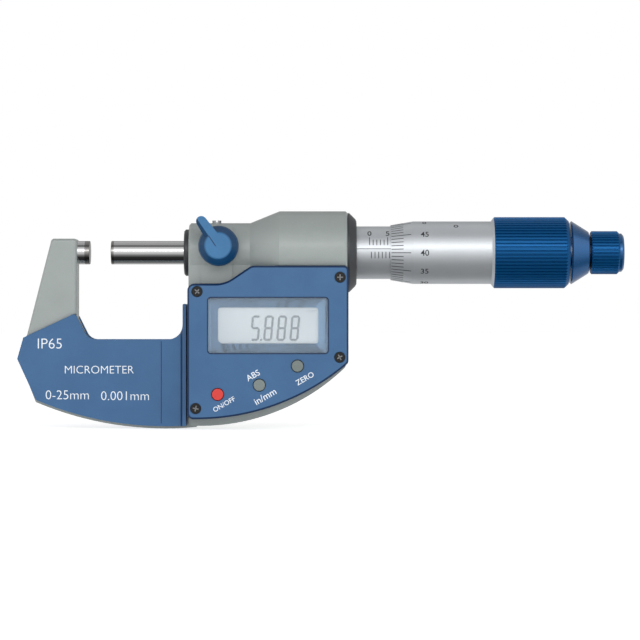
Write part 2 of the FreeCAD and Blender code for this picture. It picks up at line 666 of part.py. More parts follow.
def make_cone():
    """Cone behind the grip and the screw that carries the ratchet."""
    x = CONE_X
    end = x + CONE_LENGTH
    big = GRIP_R - 1.09
    base_r = RATCHET_BORE_R - 0.1
    bore = base_r + 0.02
    small = RATCHET_R - 0.05
    rim = THIMBLE_BORE_R - 1.05
    keep("thimble_cone", turned([
        (x, bore), (end, bore), (end, small - 0.2), (end - 0.2, small),
        (x + 0.35, big), (x, big - 0.35)]))
    shank_start = SHOULDER + 3.3
    shank_end = SHOULDER + HUB_LENGTH
    head = KNOB_END - 1.6
    keep("ratchet_screw", turned([
        (shank_start, 0), (head + 0.9, 0), (head + 0.9, RATCHET_BORE_R - 1.4),
        (head, RATCHET_BORE_R - 1.4), (head, POST_R), (x + 1.0, POST_R), (x + 1.0, base_r),
        (x - 1.0, base_r), (x - 1.0, rim), (shank_end + 0.1, rim),
        (shank_end + 0.1, 1.48), (shank_start, 1.48)]))


def saw_ring(x, direction, outer, bore):
    """Ring of saw teeth on the face at x, pointing along +X or -X."""
    pitch = 2 * math.pi / RATCHET_TEETH
    teeth = []
    for i in range(RATCHET_TEETH):
        a = i * pitch
        b = a + pitch - (0.03 if direction > 0 else 0.0)
        if direction < 0:
            a += 0.03
        low_a = V(x, math.cos(a) * outer * 1.05, math.sin(a) * outer * 1.05)
        low_b = V(x, math.cos(b) * outer * 1.05, math.sin(b) * outer * 1.05)
        crest = low_b if direction > 0 else low_a
        peak = crest + V(direction * TOOTH_HEIGHT, 0, 0)
        centre = V(x, 0, 0)
        faces = [
            Part.Face(Part.makePolygon([centre, low_a, low_b, centre])),
            Part.Face(Part.makePolygon([low_a, low_b, peak, low_a])),
        ]
        if direction > 0:
            faces.append(Part.Face(Part.makePolygon([centre, low_a, peak, centre])))
            faces.append(Part.Face(Part.makePolygon([centre, low_b, peak, centre])))
        else:
            faces.append(Part.Face(Part.makePolygon([centre, low_b, peak, centre])))
            faces.append(Part.Face(Part.makePolygon([centre, low_a, peak, centre])))
        solid = Part.Solid(Part.Shell(faces))
        if solid.Volume < 0:
            solid.reverse()
        teeth.append(solid)
    ring = tube(x - TOOTH_HEIGHT, x + TOOTH_HEIGHT, outer, bore)
    return teeth[0].fuse(teeth[1:]).common(ring)


def make_ratchet():
    """Fixed teeth, sprung disc, ribbed knob, cap and spring."""
    base_x = CONE_X + 1.1
    face_x = KNOB_X - 0.5
    bore = RATCHET_BORE_R
    hole = POST_R + SLIP_GAP
    base = tube(base_x, face_x, bore - 0.1, hole)
    keep("ratchet_base", base.fuse(saw_ring(face_x, 1, bore - 0.3, POST_R + 0.3)))
    disc_face = face_x + TOOTH_HEIGHT + 0.05
    disc = tube(disc_face, disc_face + 1.55, bore - 0.2, hole + SLIP_GAP)
    lugs = []
    for i in range(4):
        lug = box(disc_face + 0.2, disc_face + 1.55, -0.8, 0.8, bore - 0.7, bore + 0.3)
        lug.rotate(V(0, 0, 0), AXIS_X, 45 + 90 * i)
        lugs.append(lug)
    disc = disc.fuse(lugs).fuse(saw_ring(disc_face, -1, bore - 0.3, POST_R + 0.3))
    keep("ratchet_disc", disc)
    wall = KNOB_END - 2.7
    body = ribbed(KNOB_X, KNOB_END, RATCHET_R, 0.32, RATCHET_RIBS, hole + 2 * SLIP_GAP)
    shape = turned([
        (KNOB_X, 0), (KNOB_END, 0), (KNOB_END, RATCHET_R - 0.5), (KNOB_END - 0.5, RATCHET_R),
        (KNOB_X + 0.3, RATCHET_R), (KNOB_X, RATCHET_R - 0.3)])
    cuts = [rod(KNOB_X - 1, wall, bore), rod(wall + 1.0, KNOB_END + 1, bore - 0.4)]
    for i in range(4):
        groove = box(KNOB_X - 1, disc_face + 2.6, -0.9, 0.9, bore - 0.7, bore + 0.45)
        groove.rotate(V(0, 0, 0), AXIS_X, 45 + 90 * i)
        cuts.append(groove)
    keep("ratchet_knob", body.common(shape).cut(cuts))
    keep("ratchet_cap", turned([
        (KNOB_END - 0.5, 0), (KNOB_END + 1.2, 0), (KNOB_END + 1.2, bore + 0.25),
        (KNOB_END + 0.7, bore + 0.75), (KNOB_END, bore + 0.75), (KNOB_END, bore - 0.42),
        (KNOB_END - 0.5, bore - 0.42)]))
    start = disc_face + 1.56
    pitch = (wall - start - 2 * SPRING_WIRE - 0.04) / 3.0
    mean = (POST_R + bore) / 2 - 0.1
    coil = Part.makeHelix(pitch, 3 * pitch, mean)
    section = Part.Wire(Part.makeCircle(SPRING_WIRE, V(mean, 0, 0), AXIS_Y))
    spring = Part.Wire(coil).makePipeShell([section], True, True)
    spring.rotate(V(0, 0, 0), AXIS_Y, 90)
    spring.translate(V(start + SPRING_WIRE + 0.01, 0, 0))
    keep("ratchet_spring", spring)


# ---------------------------------------------------------------- spindle lock

def make_lock():
    """Lock shoe, its screw and the knob with its lever."""
    x = LEG + LOCK_X
    shoe = peg(x, LOCK_Z, -SHOE_BACK, -1.0, SHOE_R)
    keep("lock_shoe", shoe.cut(rod(x - 5, x + 5, SPINDLE_R + 0.12)))
    keep("lock_screw", peg(x, LOCK_Z, -LOCK_FRONT + 2.1, -SHOE_BACK - 0.01, LOCK_SCREW_R))
    profile = [
        (0.0, -LOCK_BASE), (LOCK_R, -LOCK_BASE), (LOCK_R, -LOCK_FRONT + 3.1),
        (LOCK_R - 0.35, -LOCK_FRONT + 2.2), (3.75, -LOCK_FRONT + 0.2), (3.4, -LOCK_FRONT),
        (0.0, -LOCK_FRONT),
    ]
    points = [V(r, y, 0) for r, y in profile]
    knob = Part.Face(Part.makePolygon(points + points[:1])).revolve(V(0, 0, 0), AXIS_Y, 360)
    knob.translate(V(x, 0, LOCK_Z))
    a = math.radians(90 + LEVER_ANGLE)
    tip = (x + LEVER_LENGTH * math.cos(a), LOCK_Z + LEVER_LENGTH * math.sin(a))
    side = V(-math.sin(a), 0, math.cos(a))
    root = V(x, 0, LOCK_Z)
    end = V(tip[0], 0, tip[1])
    arm = Part.Face(Part.makePolygon([
        root + side * LEVER_ROOT, end + side * LEVER_TIP_R, end - side * LEVER_TIP_R,
        root - side * LEVER_ROOT, root + side * LEVER_ROOT]))
    back = LEVER_THICK - LOCK_FRONT
    lever = fuse(slab(arm, -LOCK_FRONT, back), peg(tip[0], tip[1], -LOCK_FRONT, back, LEVER_TIP_R))
    crest = root + side * LEVER_CREST - AXIS_Y * LOCK_FRONT
    beyond = crest + side * LEVER_ROOT
    corners = [crest, crest - AXIS_Y, beyond - AXIS_Y, beyond + AXIS_Y * LEVER_FALL, crest]
    slope = Part.Face(Part.makePolygon(corners))
    slope = slope.extrude(V(math.cos(a), 0, math.sin(a)) * (LEVER_LENGTH + 2 * LEVER_TIP_R))
    lever = lever.cut(slope)
    hole = peg(x, LOCK_Z, -LOCK_FRONT + 2.1, -LOCK_BASE + 1, LOCK_SCREW_R)
    keep("lock_knob", fuse(knob, lever).cut(hole))


# ---------------------------------------------------------------- display module

def window_face(grow=0.0):
    """Outline of the window, made larger on every side."""
    return rounded(WINDOW_LEFT - grow, WINDOW_LEFT + WINDOW_LENGTH + grow,
                   WINDOW_TOP - WINDOW_HEIGHT - grow, WINDOW_TOP + grow, WINDOW_CORNER)


def make_cover():
    """Display cover, window, printed mask and gasket."""
    outer = cover_outline()
    shell = slab(outer, -COVER_FRONT, -COVER_BACK)
    rim = [
        e for e in shell.Edges
        if abs(e.BoundBox.YMin + COVER_FRONT) < 1e-6 and abs(e.BoundBox.YMax + COVER_FRONT) < 1e-6
    ]
    shell = shell.makeChamfer(COVER_BEVEL, rim)
    shell = shell.cut(slab(inset(outer, COVER_RIM), -COVER_INNER, -COVER_BACK + 1))
    gap = FREE_GAP
    boss = turned([
        (LEG - 5, 0), (BOSS_END + 0.5, 0), (BOSS_END + 0.5, BOSS_R + gap),
        (LEG + CONE_END, BOSS_R + gap), (LEG + CONE_START, LEG_R + gap), (LEG - 5, LEG_R + gap)])
    shell = shell.cut(boss.cut(slab(inset(outer, -1.0), -COVER_FRONT - 1, -COVER_INNER)))
    depth = COVER_FRONT - WINDOW_SINK - WINDOW_THICK - MASK_THICK
    cuts = [
        slab(window_face(), -COVER_FRONT - 1, -depth),
        slab(window_face(-LEDGE_WIDTH), -COVER_FRONT - 1, -COVER_INNER + 1),
    ]
    for x, z in BUTTONS:
        cuts.append(peg(x, z, -COVER_FRONT - 1, -COVER_INNER + 1, BUTTON_R + 0.2))
    for x, z in SCREW_PLACES:
        cuts.append(peg(x, z, -COVER_FRONT - 1, -COVER_FRONT + SCREW_HEAD + 0.15, SCREW_RECESS_R))
        cuts.append(peg(x, z, -COVER_FRONT - 1, -COVER_INNER + 1, SCREW_SHANK_R + 0.1))
    keep("display_cover", shell.cut(cuts))
    back = -COVER_FRONT + WINDOW_SINK + WINDOW_THICK
    keep("display_window", slab(window_face(-0.03), -COVER_FRONT + WINDOW_SINK, back))
    mask = slab(window_face(-0.03), back, back + MASK_THICK)
    keep("window_mask", mask.cut(slab(window_face(-MASK_SIDE), back - 1, back + 1)))
    gasket = slab(inset(outer, COVER_RIM + FREE_GAP + 0.1), -COVER_INNER, -SEAT_FACE)
    gasket = gasket.cut(slab(cavity_outline(), -COVER_INNER - 1, -SEAT_FACE + 1))
    for x, z in SCREW_PLACES:
        gasket = gasket.cut(peg(x, z, -COVER_FRONT, 0, SCREW_SHANK_R + 0.1))
    keep("cover_gasket", gasket)


def make_screws():
    """Four pan-head cross-recess screws."""
    top = -COVER_FRONT + 0.15
    seat = top + SCREW_HEAD
    reach = SCREW_SLOT_LENGTH / 2
    half = SCREW_SLOT / 2
    screws = []
    for (x, z), turn in zip(SCREW_PLACES, SCREW_TURNS):
        head = peg(x, z, top, seat, SCREW_HEAD_R)
        shank = peg(x, z, seat, seat + SCREW_LENGTH - 1.6, SCREW_SHANK_R)
        cross = fuse(
            box(x - reach, x + reach, top - 0.1, top + 0.7, z - half, z + half),
            box(x - half, x + half, top - 0.1, top + 0.7, z - reach, z + reach))
        cross.rotate(V(x, 0, z), AXIS_Y, turn)
        screws.append(fuse(head, shank).cut(cross))
    keep("cover_screws", Part.makeCompound(screws))


def make_display():
    """Liquid crystal panel, its contact strips and the circuit board."""
    panel = rounded(WINDOW_LEFT + 0.3, WINDOW_LEFT + WINDOW_LENGTH - 0.3,
                    WINDOW_TOP - WINDOW_HEIGHT + 0.3, WINDOW_TOP - 0.5, 0.3)
    lcd_back = -COVER_INNER + LCD_THICK
    keep("lcd_panel", slab(panel, -COVER_INNER, lcd_back))
    x0 = WINDOW_LEFT + MASK_SIDE
    x1 = WINDOW_LEFT + WINDOW_LENGTH - MASK_SIDE
    top = WINDOW_TOP - 1.3
    low = WINDOW_TOP - WINDOW_HEIGHT + 3.0
    strips = [box(x0, x1, lcd_back, BOARD_FRONT, z - 1.6, z) for z in (top, low)]
    keep("contact_strips", Part.makeCompound(strips))
    keep("circuit_board", slab(cavity_outline(0.2), BOARD_FRONT, BOARD_BACK))


def make_buttons():
    """Three sprung buttons, their rubber pad and the dome switches."""
    names = ["power_button", "unit_button", "zero_button"]
    stem_end = BOARD_FRONT - 1.1
    domes = []
    band = outline([
        (BUTTONS[0][0] - 3.4, BUTTONS[0][1] - 2.95), (BUTTONS[0][0] + 3.0, BUTTONS[0][1] - 2.75),
        (BUTTONS[2][0] + 2.2, BUTTONS[2][1] - 2.2), (BUTTONS[2][0] + 3.0, BUTTONS[2][1] + 3.0),
        (BUTTONS[1][0], BUTTONS[1][1] + 3.3), (BUTTONS[0][0] - 3.4, BUTTONS[0][1] + 3.0)])
    keypad = slab(band.common(cavity_outline(FREE_GAP)), BOARD_FRONT - 0.8, BOARD_FRONT)
    tops = []
    holes = []
    flange_back = -COVER_INNER + 0.7
    for name, (x, z) in zip(names, BUTTONS):
        cap = peg(x, z, -COVER_FRONT - BUTTON_PROUD, -COVER_INNER + 0.1, BUTTON_R)
        crown = [
            e for e in cap.Edges
            if e.BoundBox.YMax < -COVER_FRONT - BUTTON_PROUD + 1e-6 and e.Closed
        ]
        cap = cap.makeFillet(0.25, crown[:1])
        flange = peg(x, z, -COVER_INNER + 0.1, flange_back, BUTTON_FLANGE_R)
        stem = peg(x, z, flange_back, stem_end, STEM_R)
        keep(name, fuse(cap, flange, stem))
        domes.append(peg(x, z, BOARD_FRONT - 0.6, BOARD_FRONT, 2.0))
        tops.append(peg(x, z, flange_back + BUTTON_TRAVEL + 0.4, BOARD_FRONT, BUTTON_FLANGE_R + 0.6))
        holes.append(peg(x, z, flange_back + BUTTON_TRAVEL + 1.2, BOARD_FRONT + 1, BUTTON_FLANGE_R))
        holes.append(peg(x, z, flange_back, BOARD_FRONT, STEM_R + FREE_GAP))
    room = slab(cavity_outline(FREE_GAP), -COVER_INNER, BOARD_FRONT)
    keep("keypad", keypad.fuse(tops).cut(holes).common(room))
    keep("dome_switches", Part.makeCompound(domes))


# ---------------------------------------------------------------- battery

def make_battery():
    """Cell, contacts and the sealed screw cap."""
    x = LEG + CELL_X
    z = CELL_Z
    cell_front = BACK_Y - CELL_POCKET + 0.4
    cell = peg(x, z, cell_front, cell_front + CELL_THICK - 0.4, CELL_R)
    cell = cell.fuse(peg(x, z, cell_front + CELL_THICK - 0.4, cell_front + CELL_THICK, CELL_R - 1.2))
    keep("battery_cell", cell)
    contacts = []
    for side in (-1, 1):
        place = x + CONTACT_X * side
        foot = peg(place, z, BOARD_BACK, cell_front - 0.4, CONTACT_R)
        leaf = box(place - 1.5, place + 1.5, cell_front - 0.4, cell_front, z - 1, z + 1)
        contacts.append(foot.fuse(leaf))
    keep("battery_contacts", Part.makeCompound(contacts))
    inner = BACK_Y - CAP_THICK
    ring = Part.makeTorus(CELL_R + 0.85, 0.4, V(x, inner + 0.45, z), AXIS_Y)
    keep("battery_cap_o_ring", ring)
    cap = peg(x, z, inner + 0.02, BACK_Y + 0.4, CAP_R)
    edge = [e for e in cap.Edges if e.BoundBox.YMin > BACK_Y + 0.39]
    cap = cap.makeChamfer(0.35, edge[:1])
    groove = peg(x, z, inner - 1, inner + 0.9, CELL_R + 1.35)
    groove = groove.cut(peg(x, z, inner - 2, inner + 2, CELL_R + 0.35))
    slot = Part.makeCylinder(11.0, 1.8, V(x - 0.9, BACK_Y + 9.9, z), AXIS_X)
    keep("battery_cap", cap.cut([groove, slot]))


def main():
    """Build every sub-part and write it out."""
    os.makedirs("parts", exist_ok=True)
    make_frame()
    make_anvil()
    make_plates()
    make_bearing()
    make_encoder()
    make_sleeve()
    make_spindle()
    make_thimble()
    make_cone()
    make_ratchet()
    make_lock()
    make_cover()
    make_screws()
    make_display()
    make_buttons()
    make_battery()
    for name, shape in MADE.items():
        box_ = shape.BoundBox
        print(f"{name:26s} solids {len(shape.Solids):2d} valid {shape.isValid()} volume {shape.Volume:9.2f}"
              f"  x {box_.XMin:7.2f} {box_.XMax:7.2f}  y {box_.YMin:6.2f} {box_.YMax:6.2f}"
              f"  z {box_.ZMin:7.2f} {box_.ZMax:7.2f}")
        shape.exportStep(f"parts/{name}.step")


main()
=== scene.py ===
import logging
import math
from dataclasses import dataclass, field
from enum import Enum
from typing import Callable, ClassVar

import bmesh
import bpy
from mathutils import Matrix, Vector


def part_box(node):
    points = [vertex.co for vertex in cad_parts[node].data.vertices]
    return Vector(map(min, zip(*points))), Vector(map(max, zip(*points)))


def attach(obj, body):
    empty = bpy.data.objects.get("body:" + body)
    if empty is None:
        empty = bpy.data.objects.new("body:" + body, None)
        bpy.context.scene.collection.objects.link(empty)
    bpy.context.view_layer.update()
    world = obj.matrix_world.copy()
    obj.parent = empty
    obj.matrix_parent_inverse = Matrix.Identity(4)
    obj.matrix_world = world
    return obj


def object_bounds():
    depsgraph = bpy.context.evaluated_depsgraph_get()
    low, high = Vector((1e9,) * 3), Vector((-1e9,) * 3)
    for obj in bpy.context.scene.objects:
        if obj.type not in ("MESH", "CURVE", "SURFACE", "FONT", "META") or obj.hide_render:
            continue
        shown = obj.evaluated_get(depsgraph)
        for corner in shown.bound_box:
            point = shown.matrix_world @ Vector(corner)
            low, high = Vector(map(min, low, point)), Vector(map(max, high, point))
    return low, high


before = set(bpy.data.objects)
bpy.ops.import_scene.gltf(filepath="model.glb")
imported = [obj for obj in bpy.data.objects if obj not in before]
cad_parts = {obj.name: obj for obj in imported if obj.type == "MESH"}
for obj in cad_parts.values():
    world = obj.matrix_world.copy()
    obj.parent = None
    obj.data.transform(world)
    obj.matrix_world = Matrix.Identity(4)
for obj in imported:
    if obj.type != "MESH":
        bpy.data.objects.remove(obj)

log = logging.getLogger("micrometer")
CAD_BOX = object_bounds()

# Lengths are in metres.
MM = 0.001
PRINT_THICK = 0.03 * MM
WELD = 0.0001 * MM
LETTER_EXTRUDE = 0.5
LETTER_STEPS = 4

# Turns a shape drawn in the XY plane upright, to be read from -Y.
FRONT_VIEW = Matrix(((1, 0, 0), (0, 0, -1), (0, 1, 0))).to_4x4()
Colour = tuple[float, float, float]
WHITE = (1.0, 1.0, 1.0)


def srgb(red: int, green: int, blue: int) -> Colour:
    """Linear colour of an sRGB value.

    Args:
        red: 0 to 255.
        green: 0 to 255.
        blue: 0 to 255.

    Returns:
        The linear red, green and blue.
    """
    def linear(value: int) -> float:
        """One channel."""
        v = value / 255
        return v / 12.92 if v <= 0.04045 else ((v + 0.055) / 1.055) ** 2.4
    return linear(red), linear(green), linear(blue)


# ------------------------------------------------------------------ shaders

class Wire:
    """A node socket that takes part in Python arithmetic."""

    def __init__(self, graph: "Graph", socket: bpy.types.NodeSocket) -> None:
        """Hold the socket and the graph that it belongs to."""
        self.graph = graph
        self.socket = socket

    def __add__(self, other: object) -> "Wire":
        """Sum."""
        return self.graph.node("ShaderNodeMath", {"operation": "ADD"}, {0: self, 1: other})

    __radd__ = __add__

    def __mul__(self, other: object) -> "Wire":
        """Product."""
        return self.graph.node("ShaderNodeMath", {"operation": "MULTIPLY"}, {0: self, 1: other})


class Graph:
    """A node tree whose nodes are made by one method."""

    def __init__(self, tree: bpy.types.NodeTree) -> None:
        """Hold the tree."""
        self.tree = tree

    def node(self, kind: str, settings: dict | None = None, sockets: dict | None = None,
             output: int | str = 0) -> Wire:
        """Add any node.

        Args:
            kind: the node's type name.
            settings: its properties, set before its sockets; "ramp" gives a ramp's stops.
            sockets: values or wires for its inputs.
            output: which output to give back.

        Returns:
            The chosen output.
        """
        made = self.tree.nodes.new(kind)
        for key, value in (settings or {}).items():
            if key == "ramp":
                self.fill_ramp(made.color_ramp.elements, value)
            else:
                setattr(made, key, value)
        for key, value in (sockets or {}).items():
            self.feed(made.inputs[key], value)
        return Wire(self, made.outputs[output])

    def fill_ramp(self, elements: bpy.types.bpy_prop_collection,
                  stops: list[tuple[float, Colour]]) -> None:
        """Set a ramp's stops, with as many elements as there are stops.

        Args:
            elements: the ramp's elements.
            stops: the place and the colour of each.
        """
        while len(elements) < len(stops):
            elements.new(0.5)
        for element, (place, colour) in zip(elements, stops):
            element.position = place
            element.color = (*colour, 1.0)

    def feed(self, socket: bpy.types.NodeSocket, value: object) -> None:
        """Link a wire to a socket, or set the socket's own value.

        Args:
            socket: the input.
            value: a wire, a number, a vector or a colour.
        """
        if isinstance(value, Wire):
            self.tree.links.new(value.socket, socket)
        elif isinstance(value, tuple) and len(value) == 3 and socket.type == "RGBA":
            socket.default_value = (*value, 1.0)
        else:
            socket.default_value = value

    def place(self, stretch: tuple[float, float, float] = (1, 1, 1)) -> Wire:
        """Object coordinates in millimetres.

        Args:
            stretch: how much finer the pattern gets along each axis.

        Returns:
            The coordinates.
        """
        here = self.node("ShaderNodeTexCoord", output="Object")
        scale = tuple(s / MM for s in stretch)
        return self.node("ShaderNodeMapping", {}, {"Vector": here, "Scale": scale})

    def noise(self, where: Wire, scale: float, detail: float = 3.0) -> Wire:
        """Soft noise, 0 to 1, of the given scale per millimetre."""
        return self.node("ShaderNodeTexNoise", {}, {"Vector": where, "Scale": scale, "Detail": detail})

    def ranged(self, value: Wire, low: float, high: float, curve: str = "LINEAR") -> Wire:
        """A value brought from the given range to 0 to 1."""
        return self.node("ShaderNodeMapRange", {"interpolation_type": curve}, {
            "Value": value, "From Min": low, "From Max": high})

    def axis(self, vector: Wire, name: str) -> Wire:
        """One coordinate of a vector."""
        return self.node("ShaderNodeSeparateXYZ", {}, {0: vector}, output=name)

    def mix(self, share: Wire, low: Colour | Wire, high: Colour | Wire) -> Wire:
        """Blend of two colours."""
        return self.node("ShaderNodeMix", {"data_type": "RGBA"}, {0: share, 6: low, 7: high}, output=2)


class Shader(Graph):
    """A new material with a Principled surface."""

    def __init__(self, name: str) -> None:
        """Start the material.

        Args:
            name: the material's name.
        """
        self.material = bpy.data.materials.new(name)
        self.material.use_nodes = True
        super().__init__(self.material.node_tree)
        self.surface = self.tree.nodes["Principled BSDF"]

    def facing_front(self, side: float = 0.72, face: float = 0.97) -> Wire:
        """Tell the faces that lie square to the Y axis from sides and bevels, so that shade can be painted
        on the sides.

        Args:
            side: how square a surface is where it still counts as a side.
            face: how square it is where it counts as a face.

        Returns:
            1 on faces, 0 on sides.
        """
        normal = self.node("ShaderNodeTexCoord", output="Normal")
        square = self.node("ShaderNodeMath", {"operation": "ABSOLUTE"}, {0: self.axis(normal, "Y")})
        return self.ranged(square, side, face, "SMOOTHSTEP")

    def bump(self, height: Wire, strength: float, depth_mm: float) -> None:
        """Relief over the surface."""
        self.set("Normal", self.node("ShaderNodeBump", {}, {
            "Height": height, "Strength": strength, "Distance": depth_mm * MM}))

    def set(self, name: str, value: object) -> None:
        """Set or link one socket of the Principled surface."""
        self.feed(self.surface.inputs[name], value)


class Finish:
    """Base of every finish; builds its material once, whatever number of pieces wear it."""

    _made: ClassVar[dict[str, bpy.types.Material]] = {}

    def paint(self, shader: Shader) -> None:
        """Fill the shader; each finish has its own."""
        raise NotImplementedError

    def material(self) -> bpy.types.Material:
        """Make the material at its first use.

        Returns:
            The finish's material.
        """
        key = repr(self)
        if key not in Finish._made:
            shader = Shader(type(self).__name__.lower())
            self.paint(shader)
            Finish._made[key] = shader.material
        return Finish._made[key]


@dataclass(frozen=True)
class StovingEnamel(Finish):
    """Grey enamel baked on a casting: faint orange peel and cloudy tone."""

    low: Colour = srgb(146, 154, 152)
    high: Colour = srgb(158, 166, 164)

    def paint(self, shader: Shader) -> None:
        """Cloudy grey, fine speckle and orange peel.

        Args:
            shader: the material that is filled.
        """
        where = shader.place()
        cloud = shader.noise(where, 0.16, 4.0)
        speck = shader.noise(where, 6.0, 2.0)
        tone = shader.ranged(cloud * 0.4 + speck * 0.6, 0.3, 0.7)
        shader.set("Base Color", shader.mix(tone, self.low, self.high))
        shader.set("Roughness", 0.34 + shader.noise(where, 1.1) * 0.16)
        shader.set("Coat Weight", 0.5)
        shader.set("Coat Roughness", 0.22)
        shader.bump(shader.noise(where, 1.7, 2.0) + speck * 0.35, 0.35, 0.05)


@dataclass(frozen=True)
class MouldedPlastic(Finish):
    """Moulded plastic with a fine spark-eroded grain."""

    tone: Colour
    shade: Colour
    roughness: float = 0.42
    grain: float = 7.0
    relief: float = 0.02
    coat: float = 0.0
    # edge: a darker tone painted as shade on the sides and bevels; None paints no shade.
    edge: Colour | None = None

    def paint(self, shader: Shader) -> None:
        """Two close tones, the grain, and painted shade on the sides and bevels where an edge tone is
        given.

        Args:
            shader: the material that is filled.
        """
        where = shader.place()
        grain = shader.noise(where, self.grain, 2.0)
        cloud = shader.noise(where, 0.12)
        share = shader.ranged(cloud * 0.6 + grain * 0.4, 0.35, 0.65)
        face = shader.mix(share, self.shade, self.tone)
        # Sides and bevels take the edge tone as painted shade; faces keep their own tones.
        shader.set("Base Color", shader.mix(shader.facing_front(), self.edge, face) if self.edge else face)
        shader.set("Roughness", self.roughness - 0.05 + grain * 0.1)
        shader.set("Coat Weight", self.coat)
        shader.set("Coat Roughness", 0.12)
        shader.bump(grain, 0.5, self.relief)


@dataclass(frozen=True)
class TurnedMetal(Finish):
    """Metal with the fine rings that turning or grinding leaves round the X axis."""

    tone: Colour
    shade: Colour
    roughness: float = 0.3
    rings: float = 9.0
    relief: float = 0.004
    grain: float = 0.4
    metal: float = 1.0

    def paint(self, shader: Shader) -> None:
        """Rings close along X and almost unbroken round the axis.

        Args:
            shader: the material that is filled.
        """
        where = shader.place()
        rings = shader.noise(shader.place((self.rings, 0.08, 0.08)), 1.0)
        grain = shader.noise(where, 14.0, 2.0)
        patch = shader.noise(where, 0.2, 2.0)
        shader.set("Base Color", shader.mix(rings * 0.5 + patch * 0.5, self.shade, self.tone))
        shader.set("Metallic", self.metal)
        shader.set("Roughness", self.roughness - 0.04 + rings * 0.05 + grain * 0.04)
        shader.bump(rings + grain * self.grain, 0.4, self.relief)


@dataclass(frozen=True)
class Anodised(Finish):
    """Dyed anodised aluminium, part metal and part lacquer in look."""

    tone: Colour
    shade: Colour
    roughness: float = 0.36
    metal: float = 0.45
    coat: float = 0.35

    def paint(self, shader: Shader) -> None:
        """Dye that varies slightly, under a thin clear layer.

        Args:
            shader: the material that is filled.
        """
        streak = shader.noise(shader.place((0.15, 2.4, 2.4)), 1.0)
        grain = shader.noise(shader.place(), 9.0, 2.0)
        shader.set("Base Color", shader.mix(streak * 0.6 + grain * 0.4, self.shade, self.tone))
        shader.set("Metallic", self.metal)
        shader.set("Roughness", self.roughness - 0.05 + grain * 0.1)
        shader.set("Coat Weight", self.coat)
        shader.set("Coat Roughness", 0.16)
        shader.bump(grain, 0.35, 0.012)


@dataclass(frozen=True)
class Ink(Finish):
    """Printed or filled-in ink, slightly uneven."""

    tone: Colour
    shade: Colour
    roughness: float = 0.5

    def paint(self, shader: Shader) -> None:
        """Uneven cover of ink.

        Args:
            shader: the material that is filled.
        """
        spots = shader.noise(shader.place(), 5.0)
        shader.set("Base Color", shader.mix(spots, self.shade, self.tone))
        shader.set("Roughness", self.roughness)


@dataclass(frozen=True)
class ClearWindow(Finish):
    """Hard-coated clear window."""

    tint: Colour = srgb(226, 236, 244)
    cover: float = 0.14

    def paint(self, shader: Shader) -> None:
        """Mostly see-through, with a glossy front.

        Args:
            shader: the material that is filled.
        """
        smear = shader.noise(shader.place(), 0.5)
        shader.set("Base Color", self.tint)
        shader.set("Roughness", 0.08 + smear * 0.08)
        shader.set("Alpha", self.cover)
        shader.set("IOR", 1.49)


@dataclass(frozen=True)
class LiquidCrystal(Finish):
    """Grey reflective liquid crystal panel with a faint pixel sheen."""

    low: Colour = srgb(204, 212, 215)
    high: Colour = srgb(222, 229, 231)

    def paint(self, shader: Shader) -> None:
        """A slow drift in tone over a very fine grain.

        Args:
            shader: the material that is filled.
        """
        where = shader.place()
        drift = shader.noise(where, 0.05, 2.0)
        grain = shader.noise(where, 12.0, 1.0)
        share = shader.ranged(drift * 0.8 + grain * 0.2, 0.35, 0.65)
        shader.set("Base Color", shader.mix(share, self.low, self.high))
        shader.set("Roughness", 0.55 + grain * 0.1)


# Dark blue painted as shade on the sides and bevels of the blue plastic.
SIDE_SHADE_BLUE = srgb(8, 46, 86)
BLUE_BODY = MouldedPlastic(srgb(58, 103, 148), srgb(52, 96, 140), roughness=0.46, edge=SIDE_SHADE_BLUE)
BLUE_GRIP = Anodised(srgb(2, 92, 152), srgb(1, 82, 138), roughness=0.34, metal=0.66, coat=0.0)
BLUE_GLOSS = Anodised(srgb(10, 98, 160), srgb(6, 86, 146), roughness=0.22, metal=0.7, coat=1.0)
# The knob's edge tone is painted shade on its sides and bevels.
BLUE_KNOB = MouldedPlastic(srgb(58, 118, 166), srgb(48, 106, 154),
                           roughness=0.36, grain=8.0, relief=0.012, coat=0.05, edge=srgb(1, 60, 100))
ENAMEL = StovingEnamel()
SATIN_CHROME = TurnedMetal(srgb(222, 226, 230), srgb(210, 215, 220),
                           roughness=0.38, rings=11.0, relief=0.003, grain=0.6, metal=0.76)
GROUND_STEEL = TurnedMetal(srgb(232, 232, 232), srgb(214, 214, 216),
                           roughness=0.09, rings=16.0, relief=0.0015, grain=0.0)
HARD_METAL = TurnedMetal(srgb(168, 166, 164), srgb(150, 148, 146),
                         roughness=0.2, rings=20.0, relief=0.0015, grain=0.0)
PLAIN_STEEL = TurnedMetal(srgb(176, 178, 180), srgb(150, 152, 154),
                          roughness=0.32, rings=6.0, relief=0.006, grain=0.4)
BRASS = TurnedMetal(srgb(206, 172, 104), srgb(188, 152, 88),
                    roughness=0.3, rings=6.0, relief=0.006, grain=0.4)
BLACK_OXIDE = MouldedPlastic(srgb(9, 9, 11), srgb(4, 4, 6),
                             roughness=0.42, grain=9.0, relief=0.01, coat=0.0)
BLACK_RING = MouldedPlastic(srgb(58, 61, 64), srgb(44, 47, 50),
                            roughness=0.4, grain=8.0, relief=0.012, coat=0.1)
RUBBER = MouldedPlastic(srgb(40, 40, 41), srgb(30, 30, 31), roughness=0.7, grain=6.0, relief=0.02)
LAMINATE = MouldedPlastic(srgb(24, 96, 58), srgb(18, 80, 48),
                          roughness=0.3, grain=4.0, relief=0.01, coat=0.4)
WINDOW_BORDER = Ink(srgb(124, 163, 198), srgb(116, 154, 190), roughness=0.35)
RED_CAP = MouldedPlastic(srgb(218, 54, 46), srgb(206, 44, 38),
                         roughness=0.34, grain=8.0, relief=0.01, coat=0.3)
